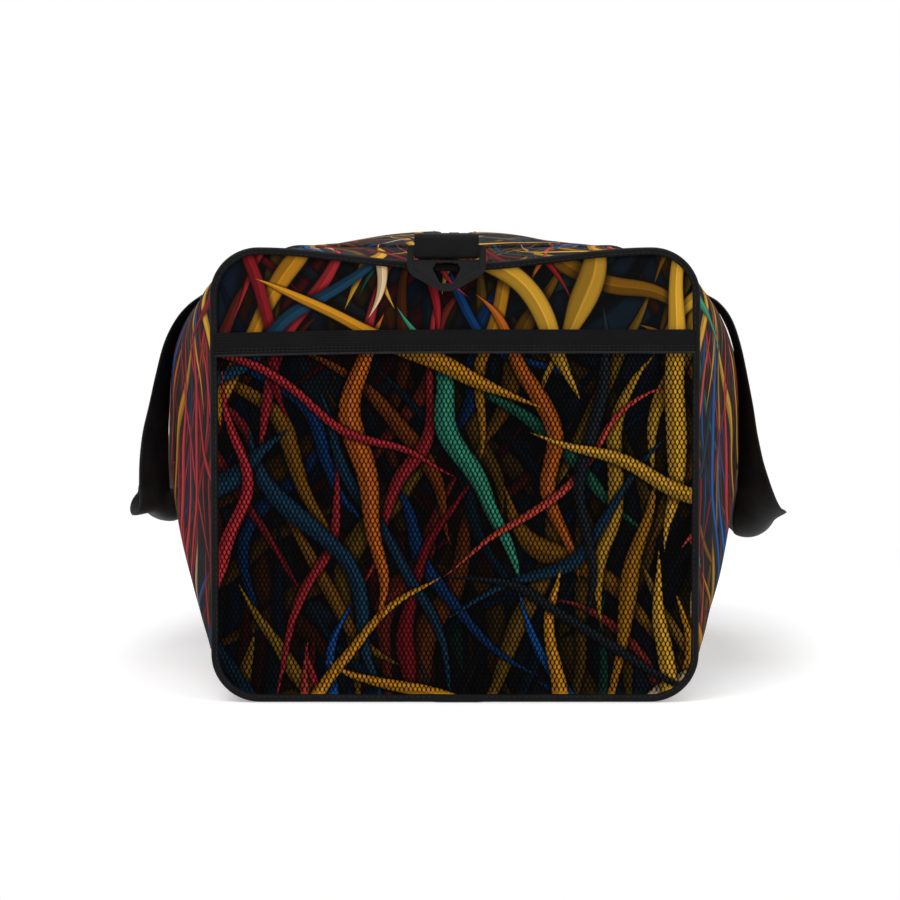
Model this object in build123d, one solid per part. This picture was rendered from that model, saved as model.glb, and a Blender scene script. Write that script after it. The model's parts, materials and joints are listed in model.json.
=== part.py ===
from build123d import *
import math
import os

# A packed duffle bag. X runs across it, Y from one end to the other, Z up, and
# the origin lies on the ground under its middle. All sizes are millimetres.

# ---------------------------------------------------------------- driving sizes
# the packed shape
LENGTH = 559.0  # over the outer faces of the two end panels
END_WIDTH = 292.0  # across an end binding
END_HEIGHT = 272.0  # over an end binding
END_CORNER = 29.0  # radius of an end binding's corners
SIDE_SWELL = 47.0  # how far each side bulges beyond the ends
CROWN = 11.0  # how far the top rises beyond the ends
TOP_DIP = 9.6  # sag of an end's top edge between its corners
BASE_WIDTH = 250.0  # flat part of the underside at mid-length
BASE_PRESS = 0.5  # how far the full base would bulge down if the ground didn't press it flat
LOW_ROUND = 152.0  # height of the rounding between base and side at mid-length
LOW_FOOT = 0.45  # its fullness by the base; a quarter circle has 0.5523
LOW_FLANK = 0.2  # its fullness by the side
HIGH_ROUND = 96.0  # height of the rounding between side and top at mid-length
HIGH_FULL = 0.62  # its fullness
TOP_SPAN = 146.0  # width of the arched middle of the top at mid-length
TOP_ARCH = 12.0  # how far that middle rises above its own edges
SIDE_POWER = 1.9  # how the side bulge spreads along the length
CROWN_POWER = 2.8  # how the crown spreads along the length
DIP_POWER = 6.0  # how the dip fades away from the ends

# cloth, tape and webbing
SHELL = 2.0  # outer cloth with its seam allowance
LINING = 1.0
LAY = 0.3  # room between one layer and the next
BINDING_WIDTH = 4.5  # of the folded tape round an end seam
BINDING_PROUD = 2.0  # how far it stands out beyond the body cloth
BINDING_FRONT = 2.0  # how far it stands out beyond the end panel
BINDING_LAP = 30.0  # length over which the tape's two ends overlap
BINDING_LAP_PROUD = 0.8
WEBBING = 38.0
WEBBING_THICK = 1.8

# panels and mouth
BASE_SEAM = 118.0  # centre line to a seam between base and side
MOUTH_SEAM = 105.0  # centre line to a seam between side and mouth flap
MOUTH_LENGTH = 452.0
MOUTH_PLAY = 0.3  # round each mouth flap

# end pockets
POCKET_HEIGHT = 209.0  # floor to the lower edge of the elastic
ELASTIC_WIDTH = 13.0
ELASTIC_THICK = 1.8
MESH_THICK = 0.8

# base board
BOARD_THICK = 3.0
BOARD_WIDTH = 200.0
BOARD_MARGIN = 6.0
BOARD_CORNER = 25.0

# zipper
TAPE_EDGE = 9.0  # centre line to where the tape goes under the cloth
COIL_HALF = 3.2
COIL_PLAY = 0.15
STOP_LENGTH = 3.0
STOP_WIDTH = 10.0
STOP_HEIGHT = 1.2
SLIDER_PARK = 21.0  # from the mouth's end to the middle of the slider when the mouth is shut
SLIDER_LENGTH = 15.0
SLIDER_WIDTH = 10.5
SLIDER_PLATE = 1.2
SLIDER_POST = 1.4
BRIDGE_LENGTH = 9.0
BRIDGE_WIDTH = 2.2
BRIDGE_WALL = 1.1
BRIDGE_GAP = 2.2
PULLER_LENGTH = 31.0
PULLER_WIDTH = 7.0
PULLER_THICK = 1.5
PULLER_BAR = 1.6

# strap ring and its tab
RING_SHIFT = -5.0  # the ring sits a little off the centre line
RING_WIDTH = 46.8
RING_DROP = 24.6  # from the bar's axis down to the ring's lowest point
RING_THICK = 3.2
RING_RIM = 4.3
RING_RECESS = 0.6
RING_CORNER = 2.4  # radius of its upper corners
RING_CHEEK = 8.0  # radius of its lower corners
RING_CHIN = 16.0  # radius of its lowest edge
RING_SLOPE = 29.6  # of the straight lengths between those, in degrees
RECESS_CHEEK = 0.47  # share of the drop at which the recess's sloping sides begin
RECESS_CHIN = 0.2  # half width of its lowest edge as a share of the ring's half width
RECESS_CORNER = 0.8
BAR_HEIGHT = 5.6
SLOT_HEIGHT = 3.1
SLOT_PLAY = 0.6
HOOK_HOLE_WIDTH = 16.8
HOOK_HOLE_HEIGHT = 12.0
HOOK_HOLE_CORNER = 1.0
HOOK_HOLE_TOP = 0.72  # its top edge as a share of its width
HOOK_HOLE_FOOT = 0.47  # its lower edge, in the same way
HOOK_HOLE_SHOULDER = 0.28  # how far down its widest place lies, as a share of its height
BAR_CLEAR = 2.6  # between the tab's wrap and the dip of the end binding
TAB_WRAP = 3.7  # inside radius of the webbing round the bar
TAB_RISE = 2.1  # how far the tab's upper ply climbs on from the lower one to its front fold
TAB_SEWN = 0.4  # share of the tab's length on the bag that is sewn down
TAB_CLEAR = 3.5  # from the mouth's end to the tab's rear edge
TAB_EASE = 6.0  # radius of its soft bends
TAB_CREASE = 1.6  # radius of its sharp bend behind the bar
RING_GAP = 0.4  # between the tab's wrap and the binding

# handles
HANDLE_SPREAD = 200.0  # between the two legs of a handle
HANDLE_DROP = 152.0  # how far a hanging handle reaches below its hinge line
HANDLE_OUT = 13.0  # how far the grip's middle stands out beyond the widest side
HANDLE_TILT = 50.0  # how far the grip's outer edge turns up, in degrees
HANDLE_SHARE = 0.455  # place of the sewn webbing's end on the upper rounding, 0 to 1
HANDLE_LAP = 1.2  # how far the hanging loop's root lies over that end
HANDLE_PLAY = 0.5  # between the root and that end
RUN_START = 1.0  # from the mouth seam to the sewn webbing

# ------------------------------------------------------------- derived places
HALF = LENGTH / 2
BODY_HALF = HALF - SHELL
FRONT = HALF + BINDING_FRONT  # outermost face of a binding
MOUTH_HALF = MOUTH_LENGTH / 2
SLIDER_AT = MOUTH_HALF - SLIDER_PARK
BAR_Y = FRONT + RING_GAP + TAB_WRAP + WEBBING_THICK
ROUND = 0.5523  # control length of a Bezier that follows a quarter circle
STATIONS = (0.2, 0.55, 0.8, 0.93, 1.0)  # shares of the half length


# -------------------------------------------------------------- shape of the bag
def section(y, inset=0.0):
    """The bag's cross-section at y: half width, edge and rise of the top, and both roundings."""
    along = min(abs(y) / BODY_HALF, 1.0)
    swell = 1 - along**SIDE_POWER
    corner = END_CORNER - BINDING_PROUD
    half = END_WIDTH / 2 - BINDING_PROUD + SIDE_SWELL * swell
    top = END_HEIGHT - BINDING_PROUD + CROWN * (1 - along**CROWN_POWER)
    end_flat = END_WIDTH / 2 - END_CORNER
    low_z = corner + (LOW_ROUND - corner) * swell
    high_z = corner + (HIGH_ROUND - corner) * swell
    arch = TOP_ARCH * swell
    flat = end_flat + (TOP_SPAN / 2 - end_flat) * swell
    return {
        "half": half - inset,
        "bottom": inset - BASE_PRESS,
        "top": top - arch - inset,
        "rise": arch - TOP_DIP * along**DIP_POWER,
        "lean": 2 * arch / flat,
        "base": end_flat + (BASE_WIDTH / 2 - end_flat) * swell,
        "flat": flat,
        "low_z": low_z + BASE_PRESS - inset,
        "high_z": high_z - inset,
        "foot": ROUND + (LOW_FOOT - ROUND) * swell,
        "flank": ROUND + (LOW_FLANK - ROUND) * swell,
        "full": ROUND + (HIGH_FULL - ROUND) * swell,
    }


def high_rounding(s):
    """Control points, as (x, z), of the rounding from the side up to the top."""
    start, end = (s["half"], s["top"] - s["high_z"]), (s["flat"], s["top"])
    reach = s["full"] * (start[0] - end[0])
    return (
        start,
        (start[0], start[1] + s["full"] * s["high_z"]),
        (end[0] + reach, end[1] - s["lean"] * reach),
        end,
    )


def bezier_at(points, t):
    """The point, as (x, z), at share t of a cubic Bezier."""
    share = ((1 - t) ** 3, 3 * t * (1 - t) ** 2, 3 * t * t * (1 - t), t**3)
    return tuple(sum(k * p[i] for k, p in zip(share, points)) for i in (0, 1))


def skin_height(x, y):
    """Height of the outer cloth over a point of the top."""
    s = section(y)
    if abs(x) <= s["flat"]:
        return bezier_at(top_curve(s), 1 - abs(x) / s["flat"])[1]
    points, low, high = high_rounding(s), 0.0, 1.0
    for _ in range(40):
        middle = (low + high) / 2
        low, high = (middle, high) if bezier_at(points, middle)[0] > abs(x) else (low, middle)
    return bezier_at(points, low)[1]


def top_curve(s):
    """Control points of the top edge from its right end to the centre line, arched or dipped."""
    middle = s["top"] + s["rise"]
    third = s["flat"] / 3
    before = s["top"] + s["lean"] * third
    return ((s["flat"], s["top"]), (2 * third, before), (third, middle), (0.0, middle))


def outline(s, y):
    """Closed wire of a section: flat base, roundings, nearly upright sides and top curve."""
    side_low = (s["half"], s["bottom"] + s["low_z"])
    base = (s["base"], s["bottom"])
    low = (
        base,
        (base[0] + s["foot"] * (side_low[0] - base[0]), base[1]),
        (side_low[0], side_low[1] - s["flank"] * s["low_z"]),
        side_low,
    )
    high = high_rounding(s)
    top = top_curve(s)

    def curve(points, sign=1):
        return Bezier(*[(sign * x, y, z) for x, z in points])

    def mirrored(points):
        return curve(points[::-1], -1)

    edges = [
        Line((-base[0], y, base[1]), (base[0], y, base[1])),
        curve(low),
        Line((side_low[0], y, side_low[1]), (high[0][0], y, high[0][1])),
        curve(high),
        curve(top),
        mirrored(top),
        mirrored(high),
        Line((-high[0][0], y, high[0][1]), (-side_low[0], y, side_low[1])),
        mirrored(low),
    ]
    return Wire(edges)


def body_form(inset, half_length):
    """Solid form of the packed bag, smaller all round by inset and pressed flat below."""
    shares = [-k for k in reversed(STATIONS)] + list(STATIONS)
    wires = [outline(section(k * half_length, inset), k * half_length) for k in shares]
    return Solid.make_loft(wires) & block(across(FAR), across(FAR), (inset, FAR))


def end_outline(inset, y):
    """Closed wire of an end seen head-on, smaller all round by inset."""
    corner = END_CORNER - inset
    return outline(
        {
            "half": END_WIDTH / 2 - inset,
            "bottom": inset,
            "top": END_HEIGHT - inset,
            "rise": -TOP_DIP,
            "lean": 0.0,
            "base": END_WIDTH / 2 - END_CORNER,
            "flat": END_WIDTH / 2 - END_CORNER,
            "low_z": corner,
            "high_z": corner,
            "foot": ROUND,
            "flank": ROUND,
            "full": ROUND,
        },
        y,
    )


def end_plate(inset, start, thick):
    """Plate with the outline of the near end, from y = start towards the outside."""
    return extrude(Face(end_outline(inset, start)), amount=thick, dir=(0, -1, 0))


def block(x, y, z):
    """Box between the two values of each coordinate."""
    box = Box(x[1] - x[0], y[1] - y[0], z[1] - z[0])
    return Pos((x[0] + x[1]) / 2, (y[0] + y[1]) / 2, (z[0] + z[1]) / 2) * box


def across(half):
    return (-half, half)


# --------------------------------------------------------------------- the nodes
FAR = 2 * LENGTH  # further than any piece of the bag
MID_HEIGHT = END_HEIGHT / 2
nodes = {}


def mirror_x(shape):
    return mirror(shape, about=Plane.YZ)


def mirror_y(shape):
    return mirror(shape, about=Plane.XZ)


def both_ends(name, near):
    nodes[name + "_near"] = near
    nodes[name + "_far"] = mirror_y(near)


def both_sides(name, right):
    nodes[name + "_right"] = right
    nodes[name + "_left"] = mirror_x(right)


def make_body():
    """Printed cloth panels, cut from one hollow form, so that they meet at their seams."""
    cloth = body_form(0, BODY_HALF) - body_form(SHELL, BODY_HALF)
    upper, lower = (MID_HEIGHT, FAR), (-FAR, MID_HEIGHT)
    nodes["base_panel"] = cloth & block(across(BASE_SEAM), across(FAR), lower)
    side = cloth & block((0, FAR), across(FAR), (-FAR, FAR))
    side -= block((0, BASE_SEAM), across(FAR), lower)
    side -= block((0, MOUTH_SEAM), across(FAR), upper)
    both_sides("side_panel", side)
    strip = block(across(MOUTH_SEAM), (-FAR, -MOUTH_HALF), upper)
    both_ends("end_strip", cloth & strip)
    moving = across(MOUTH_HALF - MOUTH_PLAY)
    flap = cloth & block((TAPE_EDGE, MOUTH_SEAM - MOUTH_PLAY), moving, upper)
    both_sides("mouth_flap", flap)
    zipped = MOUTH_HALF - STOP_LENGTH - 3 * MOUTH_PLAY
    tape = cloth & block((COIL_HALF, TAPE_EDGE), across(zipped), upper)
    both_sides("zipper_tape", tape)
    coil_end = SLIDER_AT - SLIDER_LENGTH / 2 + SLIDER_POST
    coil = cloth & block((COIL_PLAY, COIL_HALF), (-zipped, coil_end), upper)
    both_sides("zipper_coil", coil)


def make_lining():
    """One cup of thin cloth inside the panels, open at the mouth."""
    outer = SHELL + LAY
    cup = body_form(outer, BODY_HALF - LAY) - body_form(outer + LINING, BODY_HALF - LAY - LINING)
    mouth = block(across(MOUTH_SEAM), across(MOUTH_HALF), (MID_HEIGHT, FAR))
    nodes["lining"] = cup - mouth


def make_base_board():
    floor = SHELL + LAY + LINING + LAY
    length = 2 * (BODY_HALF - BOARD_MARGIN)
    board = RectangleRounded(BOARD_WIDTH, length, BOARD_CORNER)
    nodes["base_board"] = Pos(0, 0, floor) * extrude(board, amount=BOARD_THICK)


def make_ends():
    """End panel, binding, mesh pocket and its elastic top, made at the near end."""
    panel = end_plate(BINDING_WIDTH, -BODY_HALF, SHELL)
    both_ends("end_panel", panel)
    depth = FRONT - BODY_HALF
    ring = end_plate(0, -BODY_HALF, depth) - end_plate(BINDING_WIDTH, -BODY_HALF, depth)
    lap = block(across(BINDING_LAP / 2), (-FRONT - BINDING_LAP_PROUD, -FRONT), (0, BINDING_WIDTH))
    both_ends("end_binding", ring + lap)
    below = block(across(FAR), across(FAR), (-FAR, POCKET_HEIGHT))
    both_ends("pocket_mesh", end_plate(BINDING_WIDTH, -HALF, MESH_THICK) & below)
    band = block(across(FAR), across(FAR), (POCKET_HEIGHT, POCKET_HEIGHT + ELASTIC_WIDTH))
    both_ends("pocket_elastic", end_plate(BINDING_WIDTH, -HALF, ELASTIC_THICK) & band)


def zipper_place():
    """Plane on the zipper at the shut slider: y back along the zipper, z off the cloth."""
    step = SLIDER_LENGTH / 2
    low, high = skin_height(0, SLIDER_AT + step), skin_height(0, SLIDER_AT - step)
    slope = math.atan2(high - low, 2 * step)
    middle = (0, SLIDER_AT, skin_height(0, SLIDER_AT))
    return Plane(middle, x_dir=(-1, 0, 0), z_dir=(0, math.sin(slope), math.cos(slope)))


def make_zipper_hardware():
    """Slider with its bridge, puller hooked on the bridge, and a stop at each end."""
    place = zipper_place()
    along, width = across(SLIDER_LENGTH / 2), across(SLIDER_WIDTH / 2)
    above, below = LAY, -SHELL - LAY
    bridge_top = above + SLIDER_PLATE + BRIDGE_GAP + BRIDGE_WALL
    slider = block(width, along, (above, above + SLIDER_PLATE))
    slider += block(width, along, (below - SLIDER_PLATE, below))
    post_end = -SLIDER_LENGTH / 2 + 2 * SLIDER_POST
    post = (-SLIDER_LENGTH / 2 + SLIDER_POST / 2, post_end)
    slider += block(across(SLIDER_POST / 2), post, (below, above))
    bridge = block(across(BRIDGE_WIDTH / 2), across(BRIDGE_LENGTH / 2), (above, bridge_top))
    window = BRIDGE_LENGTH / 2 - BRIDGE_WALL
    gap = (above + SLIDER_PLATE, above + SLIDER_PLATE + BRIDGE_GAP)
    slider += bridge - block(across(BRIDGE_WIDTH), across(window), gap)
    nodes["zipper_slider"] = place * slider
    pivot = above + SLIDER_PLATE + BRIDGE_GAP / 2
    eye = BRIDGE_WIDTH / 2 + LAY
    bridge_reach = math.hypot(BRIDGE_LENGTH / 2, BRIDGE_GAP / 2 + BRIDGE_WALL)
    eye_end = bridge_reach + PULLER_THICK / 2 + 2 * LAY
    plate = block(across(PULLER_WIDTH / 2), (0, PULLER_LENGTH), across(PULLER_THICK / 2))
    plate -= block(across(eye), across(eye_end), across(PULLER_THICK))
    grip_end = PULLER_LENGTH - PULLER_WIDTH / 2
    plate -= Pos(0, grip_end, 0) * Cylinder(PULLER_WIDTH / 5, 2 * PULLER_THICK)
    bar = Rot(0, 90, 0) * Cylinder(PULLER_BAR / 2, PULLER_WIDTH)
    nodes["zipper_puller"] = place * (Pos(0, 0, pivot) * (plate + bar))
    start = MOUTH_HALF - MOUTH_PLAY - STOP_LENGTH
    height = skin_height(0, start)
    stop = block(
        across(STOP_WIDTH / 2),
        (-start - STOP_LENGTH, -start),
        (height - SHELL, height + STOP_HEIGHT),
    )
    both_ends("zipper_stop", stop)
    hinge = place.from_local_coords(Vector(0, 0, pivot))
    print("puller pivot", hinge)


def bar_height():
    """Height of the strap ring's bar: its tab's wrap clears the top of the binding."""
    return END_HEIGHT - TOP_DIP + BAR_CLEAR + WEBBING_THICK + TAB_WRAP


def ring_sketch(right, radii):
    """Face from the corners of its right half, downwards, with a radius for each of them."""
    left = [(-x, z) for x, z in reversed(right) if x > 0]
    radii = radii + radii[: len(left)][::-1]
    return make_face(FilletPolyline(*right, *left, radius=radii, close=True))


def make_strap_ring():
    """Moulded ring: bar, slot for the tab, recessed web and a six-sided hook hole."""
    half, drop = RING_WIDTH / 2, -RING_DROP
    bar, slot = BAR_HEIGHT / 2, SLOT_HEIGHT
    slot_half = (WEBBING + SLOT_PLAY) / 2
    slope = math.radians(RING_SLOPE)
    point = drop - RING_CHIN * (1 / math.cos(slope) - 1)
    web_low = drop + RING_RIM
    hole_half, hole_low = HOOK_HOLE_WIDTH / 2, web_low + RING_RECESS
    hole_top = hole_low + HOOK_HOLE_HEIGHT
    outer = [(half, bar), (half, point + half * math.tan(slope)), (0, point)]
    outer = ring_sketch(outer, [RING_CORNER, RING_CHEEK, RING_CHIN])
    shoulder = hole_top - HOOK_HOLE_SHOULDER * HOOK_HOLE_HEIGHT
    hole = [
        (HOOK_HOLE_TOP * hole_half, hole_top),
        (hole_half, shoulder),
        (HOOK_HOLE_FOOT * hole_half, hole_low),
    ]
    hole = ring_sketch(hole, [HOOK_HOLE_CORNER] * 3)
    web = [(slot_half, -bar), (slot_half, RECESS_CHEEK * drop), (RECESS_CHIN * half, web_low)]
    web = ring_sketch(web, [RECESS_CORNER] * 3)
    through = across(RING_THICK)
    ring = extrude(outer, amount=RING_THICK / 2, both=True)
    ring -= block(across(slot_half), (-bar - slot, -bar), through)
    ring -= extrude(hole, amount=RING_THICK, both=True)
    for side in (-1, 1):
        lift = side * (RING_THICK / 2 - RING_RECESS)
        ring -= extrude(Pos(0, 0, lift) * web, amount=side * RING_THICK)
    stand = Rot(90, 0, 0)
    ring = Pos(RING_SHIFT, -BAR_Y, bar_height()) * (stand * ring)
    both_ends("strap_ring", ring)
    print("ring axis", -BAR_Y, bar_height())


def make_ring_tab():
    """Webbing doubled round the ring's bar and sewn down on the end strip."""
    t, wrap = WEBBING_THICK, TAB_WRAP + WEBBING_THICK / 2
    rear = -MOUTH_HALF - TAB_CLEAR
    sewn = rear - TAB_SEWN * (HALF + rear)
    edge = abs(RING_SHIFT) + WEBBING / 2
    bar_z = bar_height()
    seat = [skin_height(edge, y) + LAY + t / 2 for y in (rear, sewn)]
    lower = bar_z + BAR_HEIGHT / 2 + LAY + t / 2
    fold = lower + t + LAY + TAB_RISE
    points = [
        (rear, seat[0] + t + LAY),
        (sewn, seat[1] + t + LAY),
        (-BAR_Y - wrap, fold),
        (-BAR_Y - wrap, bar_z - wrap),
        (-BAR_Y + wrap, bar_z - wrap),
        (-BAR_Y + wrap, lower),
        (sewn, seat[1]),
        (rear, seat[0]),
    ]
    bend = 0.98 * wrap  # just under half the wrap's width, so a short flat is left between bends
    radii = [TAB_EASE, 2 * TAB_CREASE, bend, bend, TAB_CREASE, TAB_EASE]
    path = FilletPolyline(*[(0, y, z) for y, z in points], radius=radii)
    start = Plane(path @ 0, x_dir=(1, 0, 0), z_dir=path % 0)
    tab = sweep(start * Rectangle(WEBBING, t), path=path, transition=Transition.RIGHT)
    both_ends("ring_tab", Pos(RING_SHIFT, 0, 0) * tab)


def handle_seat():
    """End of the sewn webbing on the outer cloth and the way on from there, as (x, z) pairs."""
    points = high_rounding(section(HANDLE_SPREAD / 2))
    (x0, z0), (x1, z1) = (bezier_at(points, HANDLE_SHARE + k) for k in (0.01, -0.01))
    size = math.hypot(x1 - x0, z1 - z0)
    return bezier_at(points, HANDLE_SHARE), ((x1 - x0) / size, (z1 - z0) / size)


def make_handle_runs():
    """The sewn lengths of handle webbing, from the mouth seam down to the hinge line."""
    leg = HANDLE_SPREAD / 2
    end, _ = handle_seat()
    layer = body_form(-LAY - WEBBING_THICK, BODY_HALF) - body_form(-LAY, BODY_HALF)
    for name, y in (("near", -leg), ("far", leg)):
        width = (y - WEBBING / 2, y + WEBBING / 2)
        cut = block((MOUTH_SEAM + RUN_START, end[0]), width, (MID_HEIGHT, FAR))
        both_sides("handle_run_" + name, layer & cut)


def make_handle_loops():
    """A hanging loop of webbing: flat at its hinge line, turned a quarter by the grip."""
    (x0, z0), way0 = handle_seat()
    off = LAY + HANDLE_PLAY + 1.5 * WEBBING_THICK
    x0 += -HANDLE_LAP * way0[0] - off * way0[1]
    z0 += -HANDLE_LAP * way0[1] + off * way0[0]
    leg, widest = HANDLE_SPREAD / 2, section(0)["half"]
    grip = widest + HANDLE_OUT
    # shares of the way out to the grip, of the leg's spread and of the drop, then the turn
    stations = [
        (0.00, 1.00, 0.00, 0),
        (0.19, 1.00, 0.05, 0),
        (0.36, 1.00, 0.11, 0),
        (0.54, 1.00, 0.20, 3),
        (0.68, 1.00, 0.31, 7),
        (0.76, 1.00, 0.45, 12),
        (0.82, 1.00, 0.58, 17),
        (0.86, 1.00, 0.69, 21),
        (0.90, 1.00, 0.79, 25),
        (0.95, 0.99, 0.87, 29),
        (1.03, 0.94, 0.93, 35),
        (1.04, 0.80, 0.98, 52),
        (1.02, 0.48, 1.00, 76),
        (1.00, 0.00, 1.00, 90),
    ]
    places = [
        Vector(x0 + out * (grip - x0), -leg * spread, z0 - HANDLE_DROP * drop)
        for out, spread, drop, _ in stations
    ]
    faces = []
    for k, (_, _, _, turn) in enumerate(stations):
        before, after = places[max(k - 1, 0)], places[min(k + 1, len(places) - 1)]
        way = (after - before).normalized()
        if k == len(stations) - 1:
            way = Vector(0, 1, 0)
        if k == 0:
            way = Vector(way0[0], 0, way0[1])
        turned = -math.sin(math.radians(turn))
        lift = turned * math.tan(math.radians(HANDLE_TILT)) * turn / 90
        wide = Vector(turned, math.cos(math.radians(turn)), lift)
        wide = (wide - way * wide.dot(way)).normalized()
        place = Plane(places[k], x_dir=wide, z_dir=way)
        faces.append(place * Rectangle(WEBBING, WEBBING_THICK))
    half = loft(faces[:2], ruled=True)
    for pair in zip(faces[1:], faces[2:]):
        half += loft(pair, ruled=True)
    both_sides("handle_loop", half + mirror_y(half))
    print("handle hinge", x0, z0)


make_body()
make_lining()
make_base_board()
make_ends()
make_zipper_hardware()
make_strap_ring()
make_ring_tab()
make_handle_runs()
make_handle_loops()

hinge_z = max(skin_height(MOUTH_SEAM, k * MOUTH_HALF / 40) for k in range(41))
print("mouth hinge", MOUTH_SEAM, hinge_z)

os.makedirs("parts", exist_ok=True)
for name, shape in nodes.items():
    export_step(shape, f"parts/{name}.step")
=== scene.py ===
import json
import math

import bmesh
import bpy
import numpy as np
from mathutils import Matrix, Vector, noise


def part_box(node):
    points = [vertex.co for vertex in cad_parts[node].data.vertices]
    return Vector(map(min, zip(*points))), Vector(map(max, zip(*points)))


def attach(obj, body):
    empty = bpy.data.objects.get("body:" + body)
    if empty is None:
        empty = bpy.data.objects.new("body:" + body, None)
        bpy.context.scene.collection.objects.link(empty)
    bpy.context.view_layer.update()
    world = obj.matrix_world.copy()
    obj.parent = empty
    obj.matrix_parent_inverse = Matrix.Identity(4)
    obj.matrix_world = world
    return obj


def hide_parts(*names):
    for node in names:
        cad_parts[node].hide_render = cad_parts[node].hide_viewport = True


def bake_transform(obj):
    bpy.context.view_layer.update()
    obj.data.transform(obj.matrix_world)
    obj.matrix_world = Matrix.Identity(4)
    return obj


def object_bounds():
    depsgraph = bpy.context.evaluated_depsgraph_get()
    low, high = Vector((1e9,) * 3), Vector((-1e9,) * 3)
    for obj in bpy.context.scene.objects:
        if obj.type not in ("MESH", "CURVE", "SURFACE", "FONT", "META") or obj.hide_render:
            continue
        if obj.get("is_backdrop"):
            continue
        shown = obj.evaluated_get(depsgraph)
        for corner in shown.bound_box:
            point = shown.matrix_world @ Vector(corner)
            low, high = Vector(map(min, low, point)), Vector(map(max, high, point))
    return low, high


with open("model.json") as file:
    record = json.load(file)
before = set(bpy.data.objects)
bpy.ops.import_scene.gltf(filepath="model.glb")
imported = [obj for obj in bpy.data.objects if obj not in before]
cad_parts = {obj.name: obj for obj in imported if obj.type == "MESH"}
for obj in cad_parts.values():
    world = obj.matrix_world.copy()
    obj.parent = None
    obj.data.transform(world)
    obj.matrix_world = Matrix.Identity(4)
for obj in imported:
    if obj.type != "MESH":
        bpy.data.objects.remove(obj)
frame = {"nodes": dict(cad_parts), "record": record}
cad_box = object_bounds()

# The looks of a packed duffle bag, in metres, in the CAD part's frame: X across it, Y from
# the photographed end to the other, Z up.
MM = 0.001

# ---------------------------------------------------------------- sizes the CAD part has too
BODY_HALF = -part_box("side_panel_left")[0].y
PANEL_FACE = -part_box("end_panel_near")[0].y
BINDING_FACE = BODY_HALF + 4 * MM
END_WIDTH, END_HEIGHT, END_CORNER = 292 * MM, 272 * MM, 29 * MM
TOP_DIP, SIDE_SWELL, CROWN = 9.6 * MM, 47 * MM, 11 * MM
BASE_HALF, TOP_HALF, TOP_ARCH = 125 * MM, 73 * MM, 12 * MM
LOW_ROUND, HIGH_ROUND = 152 * MM, 96 * MM
ROUND, LOW_FOOT, LOW_FLANK, HIGH_FULL = 0.5523, 0.45, 0.2, 0.62
SIDE_POWER, CROWN_POWER, DIP_POWER = 1.9, 2.8, 6.0
BINDING_WIDTH, BINDING_PROUD = 4.5 * MM, 2 * MM
BASE_SEAM, MOUTH_SEAM, MOUTH_HALF = 118 * MM, 105 * MM, 226 * MM
TAPE_EDGE = 9 * MM
WEBBING, WEBBING_THICK = 38 * MM, 1.8 * MM
POCKET_TOP, ELASTIC_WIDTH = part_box("pocket_elastic_near")[0].z, 13 * MM
HANDLE_LEG = 100 * MM
BAG_MIDDLE = (0, 0, 0.13)
SIDES = (("left", -1), ("right", 1))
ENDS = (("near", -1), ("far", 1))

# ---------------------------------------------------------------- sizes of the dressing alone
STRAP_THICK = 1.6 * MM  # drawn a little thinner than the solid webbing
RUN_THICK, RUN_LIFT = 1.5 * MM, 1.5 * MM  # of the handles' sewn ends, off the cloth's line
TAPE_DEEP = 1.5 * MM  # how far the zipper tape is drawn below the line of the top
TOOTH_PITCH = 1.9 * MM
TAB_WRAP = 3.7 * MM  # from the bar's axis to the inside of the webbing round it
TAB_OVER_BAR = 3.1 * MM  # from the bar's axis up to the tab's lower ply
TAB_SEWN = 20 * MM
TAB_LIFT = 0.9 * MM  # from the line of the top up to the tab's lower ply
TAB_SWELL = 1.2 * MM  # the upper outer corner, before it is rounded, above the solid tab
TAB_RADII = [v * MM for v in (9, 2.6, 4.4, 4.4, 1.6, 8)]  # of its corners, upper ply first
LINING_INSET = 3.2 * MM
LENS, SENSOR = 133.9, 36  # in the camera's own millimetres
CAMERA_BACK, CAMERA_HEIGHT, CAMERA_TILT = 1.993, 0.278, math.radians(3.64)

scene = bpy.context.scene


# ------------------------------------------------------------------------- mesh helpers
def new_piece(name, points, faces, uv=None, painted_light_gain=1.0, inside=None):
    """Mesh object. uv has one value per point, and the gain after it is painted light, a factor on
    each point's print colour. Faces turn away from the point inside."""
    mesh = bpy.data.meshes.new(name)
    points = np.asarray(points, float).reshape(-1, 3)
    mesh.from_pydata(points.tolist(), [], [list(map(int, f)) for f in faces])
    if uv is not None:
        corner = np.empty(len(mesh.loops), np.int32)
        mesh.loops.foreach_get("vertex_index", corner)
        layer = mesh.uv_layers.new(name="cloth")
        layer.data.foreach_set("uv", np.asarray(uv, float).reshape(-1, 2)[corner].ravel())
    values = mesh.attributes.new("painted_light_gain", "FLOAT", "POINT")
    values.data.foreach_set("value", np.broadcast_to(np.ravel(painted_light_gain), len(points)).astype(float))
    mesh.polygons.foreach_set("use_smooth", [True] * len(mesh.polygons))
    if inside is not None:
        facing = sum((f.center - Vector(inside)).dot(f.normal) * f.area for f in mesh.polygons)
        if facing < 0:
            mesh.flip_normals()
    mesh.update()
    piece = bpy.data.objects.new(name, mesh)
    scene.collection.objects.link(piece)
    return piece


def grid_faces(rows, columns, ring=False):
    """Quads of a grid of points; ring joins the last column to the first."""
    last = columns if ring else columns - 1
    r, c = np.meshgrid(np.arange(rows - 1), np.arange(last), indexing="ij")
    after = (c + 1) % columns
    quads = [r * columns + c, r * columns + after, (r + 1) * columns + after, (r + 1) * columns + c]
    return np.stack(quads, -1).reshape(-1, 4)


def grid_piece(name, points, uv, painted_light_gain=1.0):
    """Mesh object of a grid of points, facing away from the middle of the bag."""
    return new_piece(name, points, grid_faces(*points.shape[:2]), uv, painted_light_gain, BAG_MIDDLE)


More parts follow.
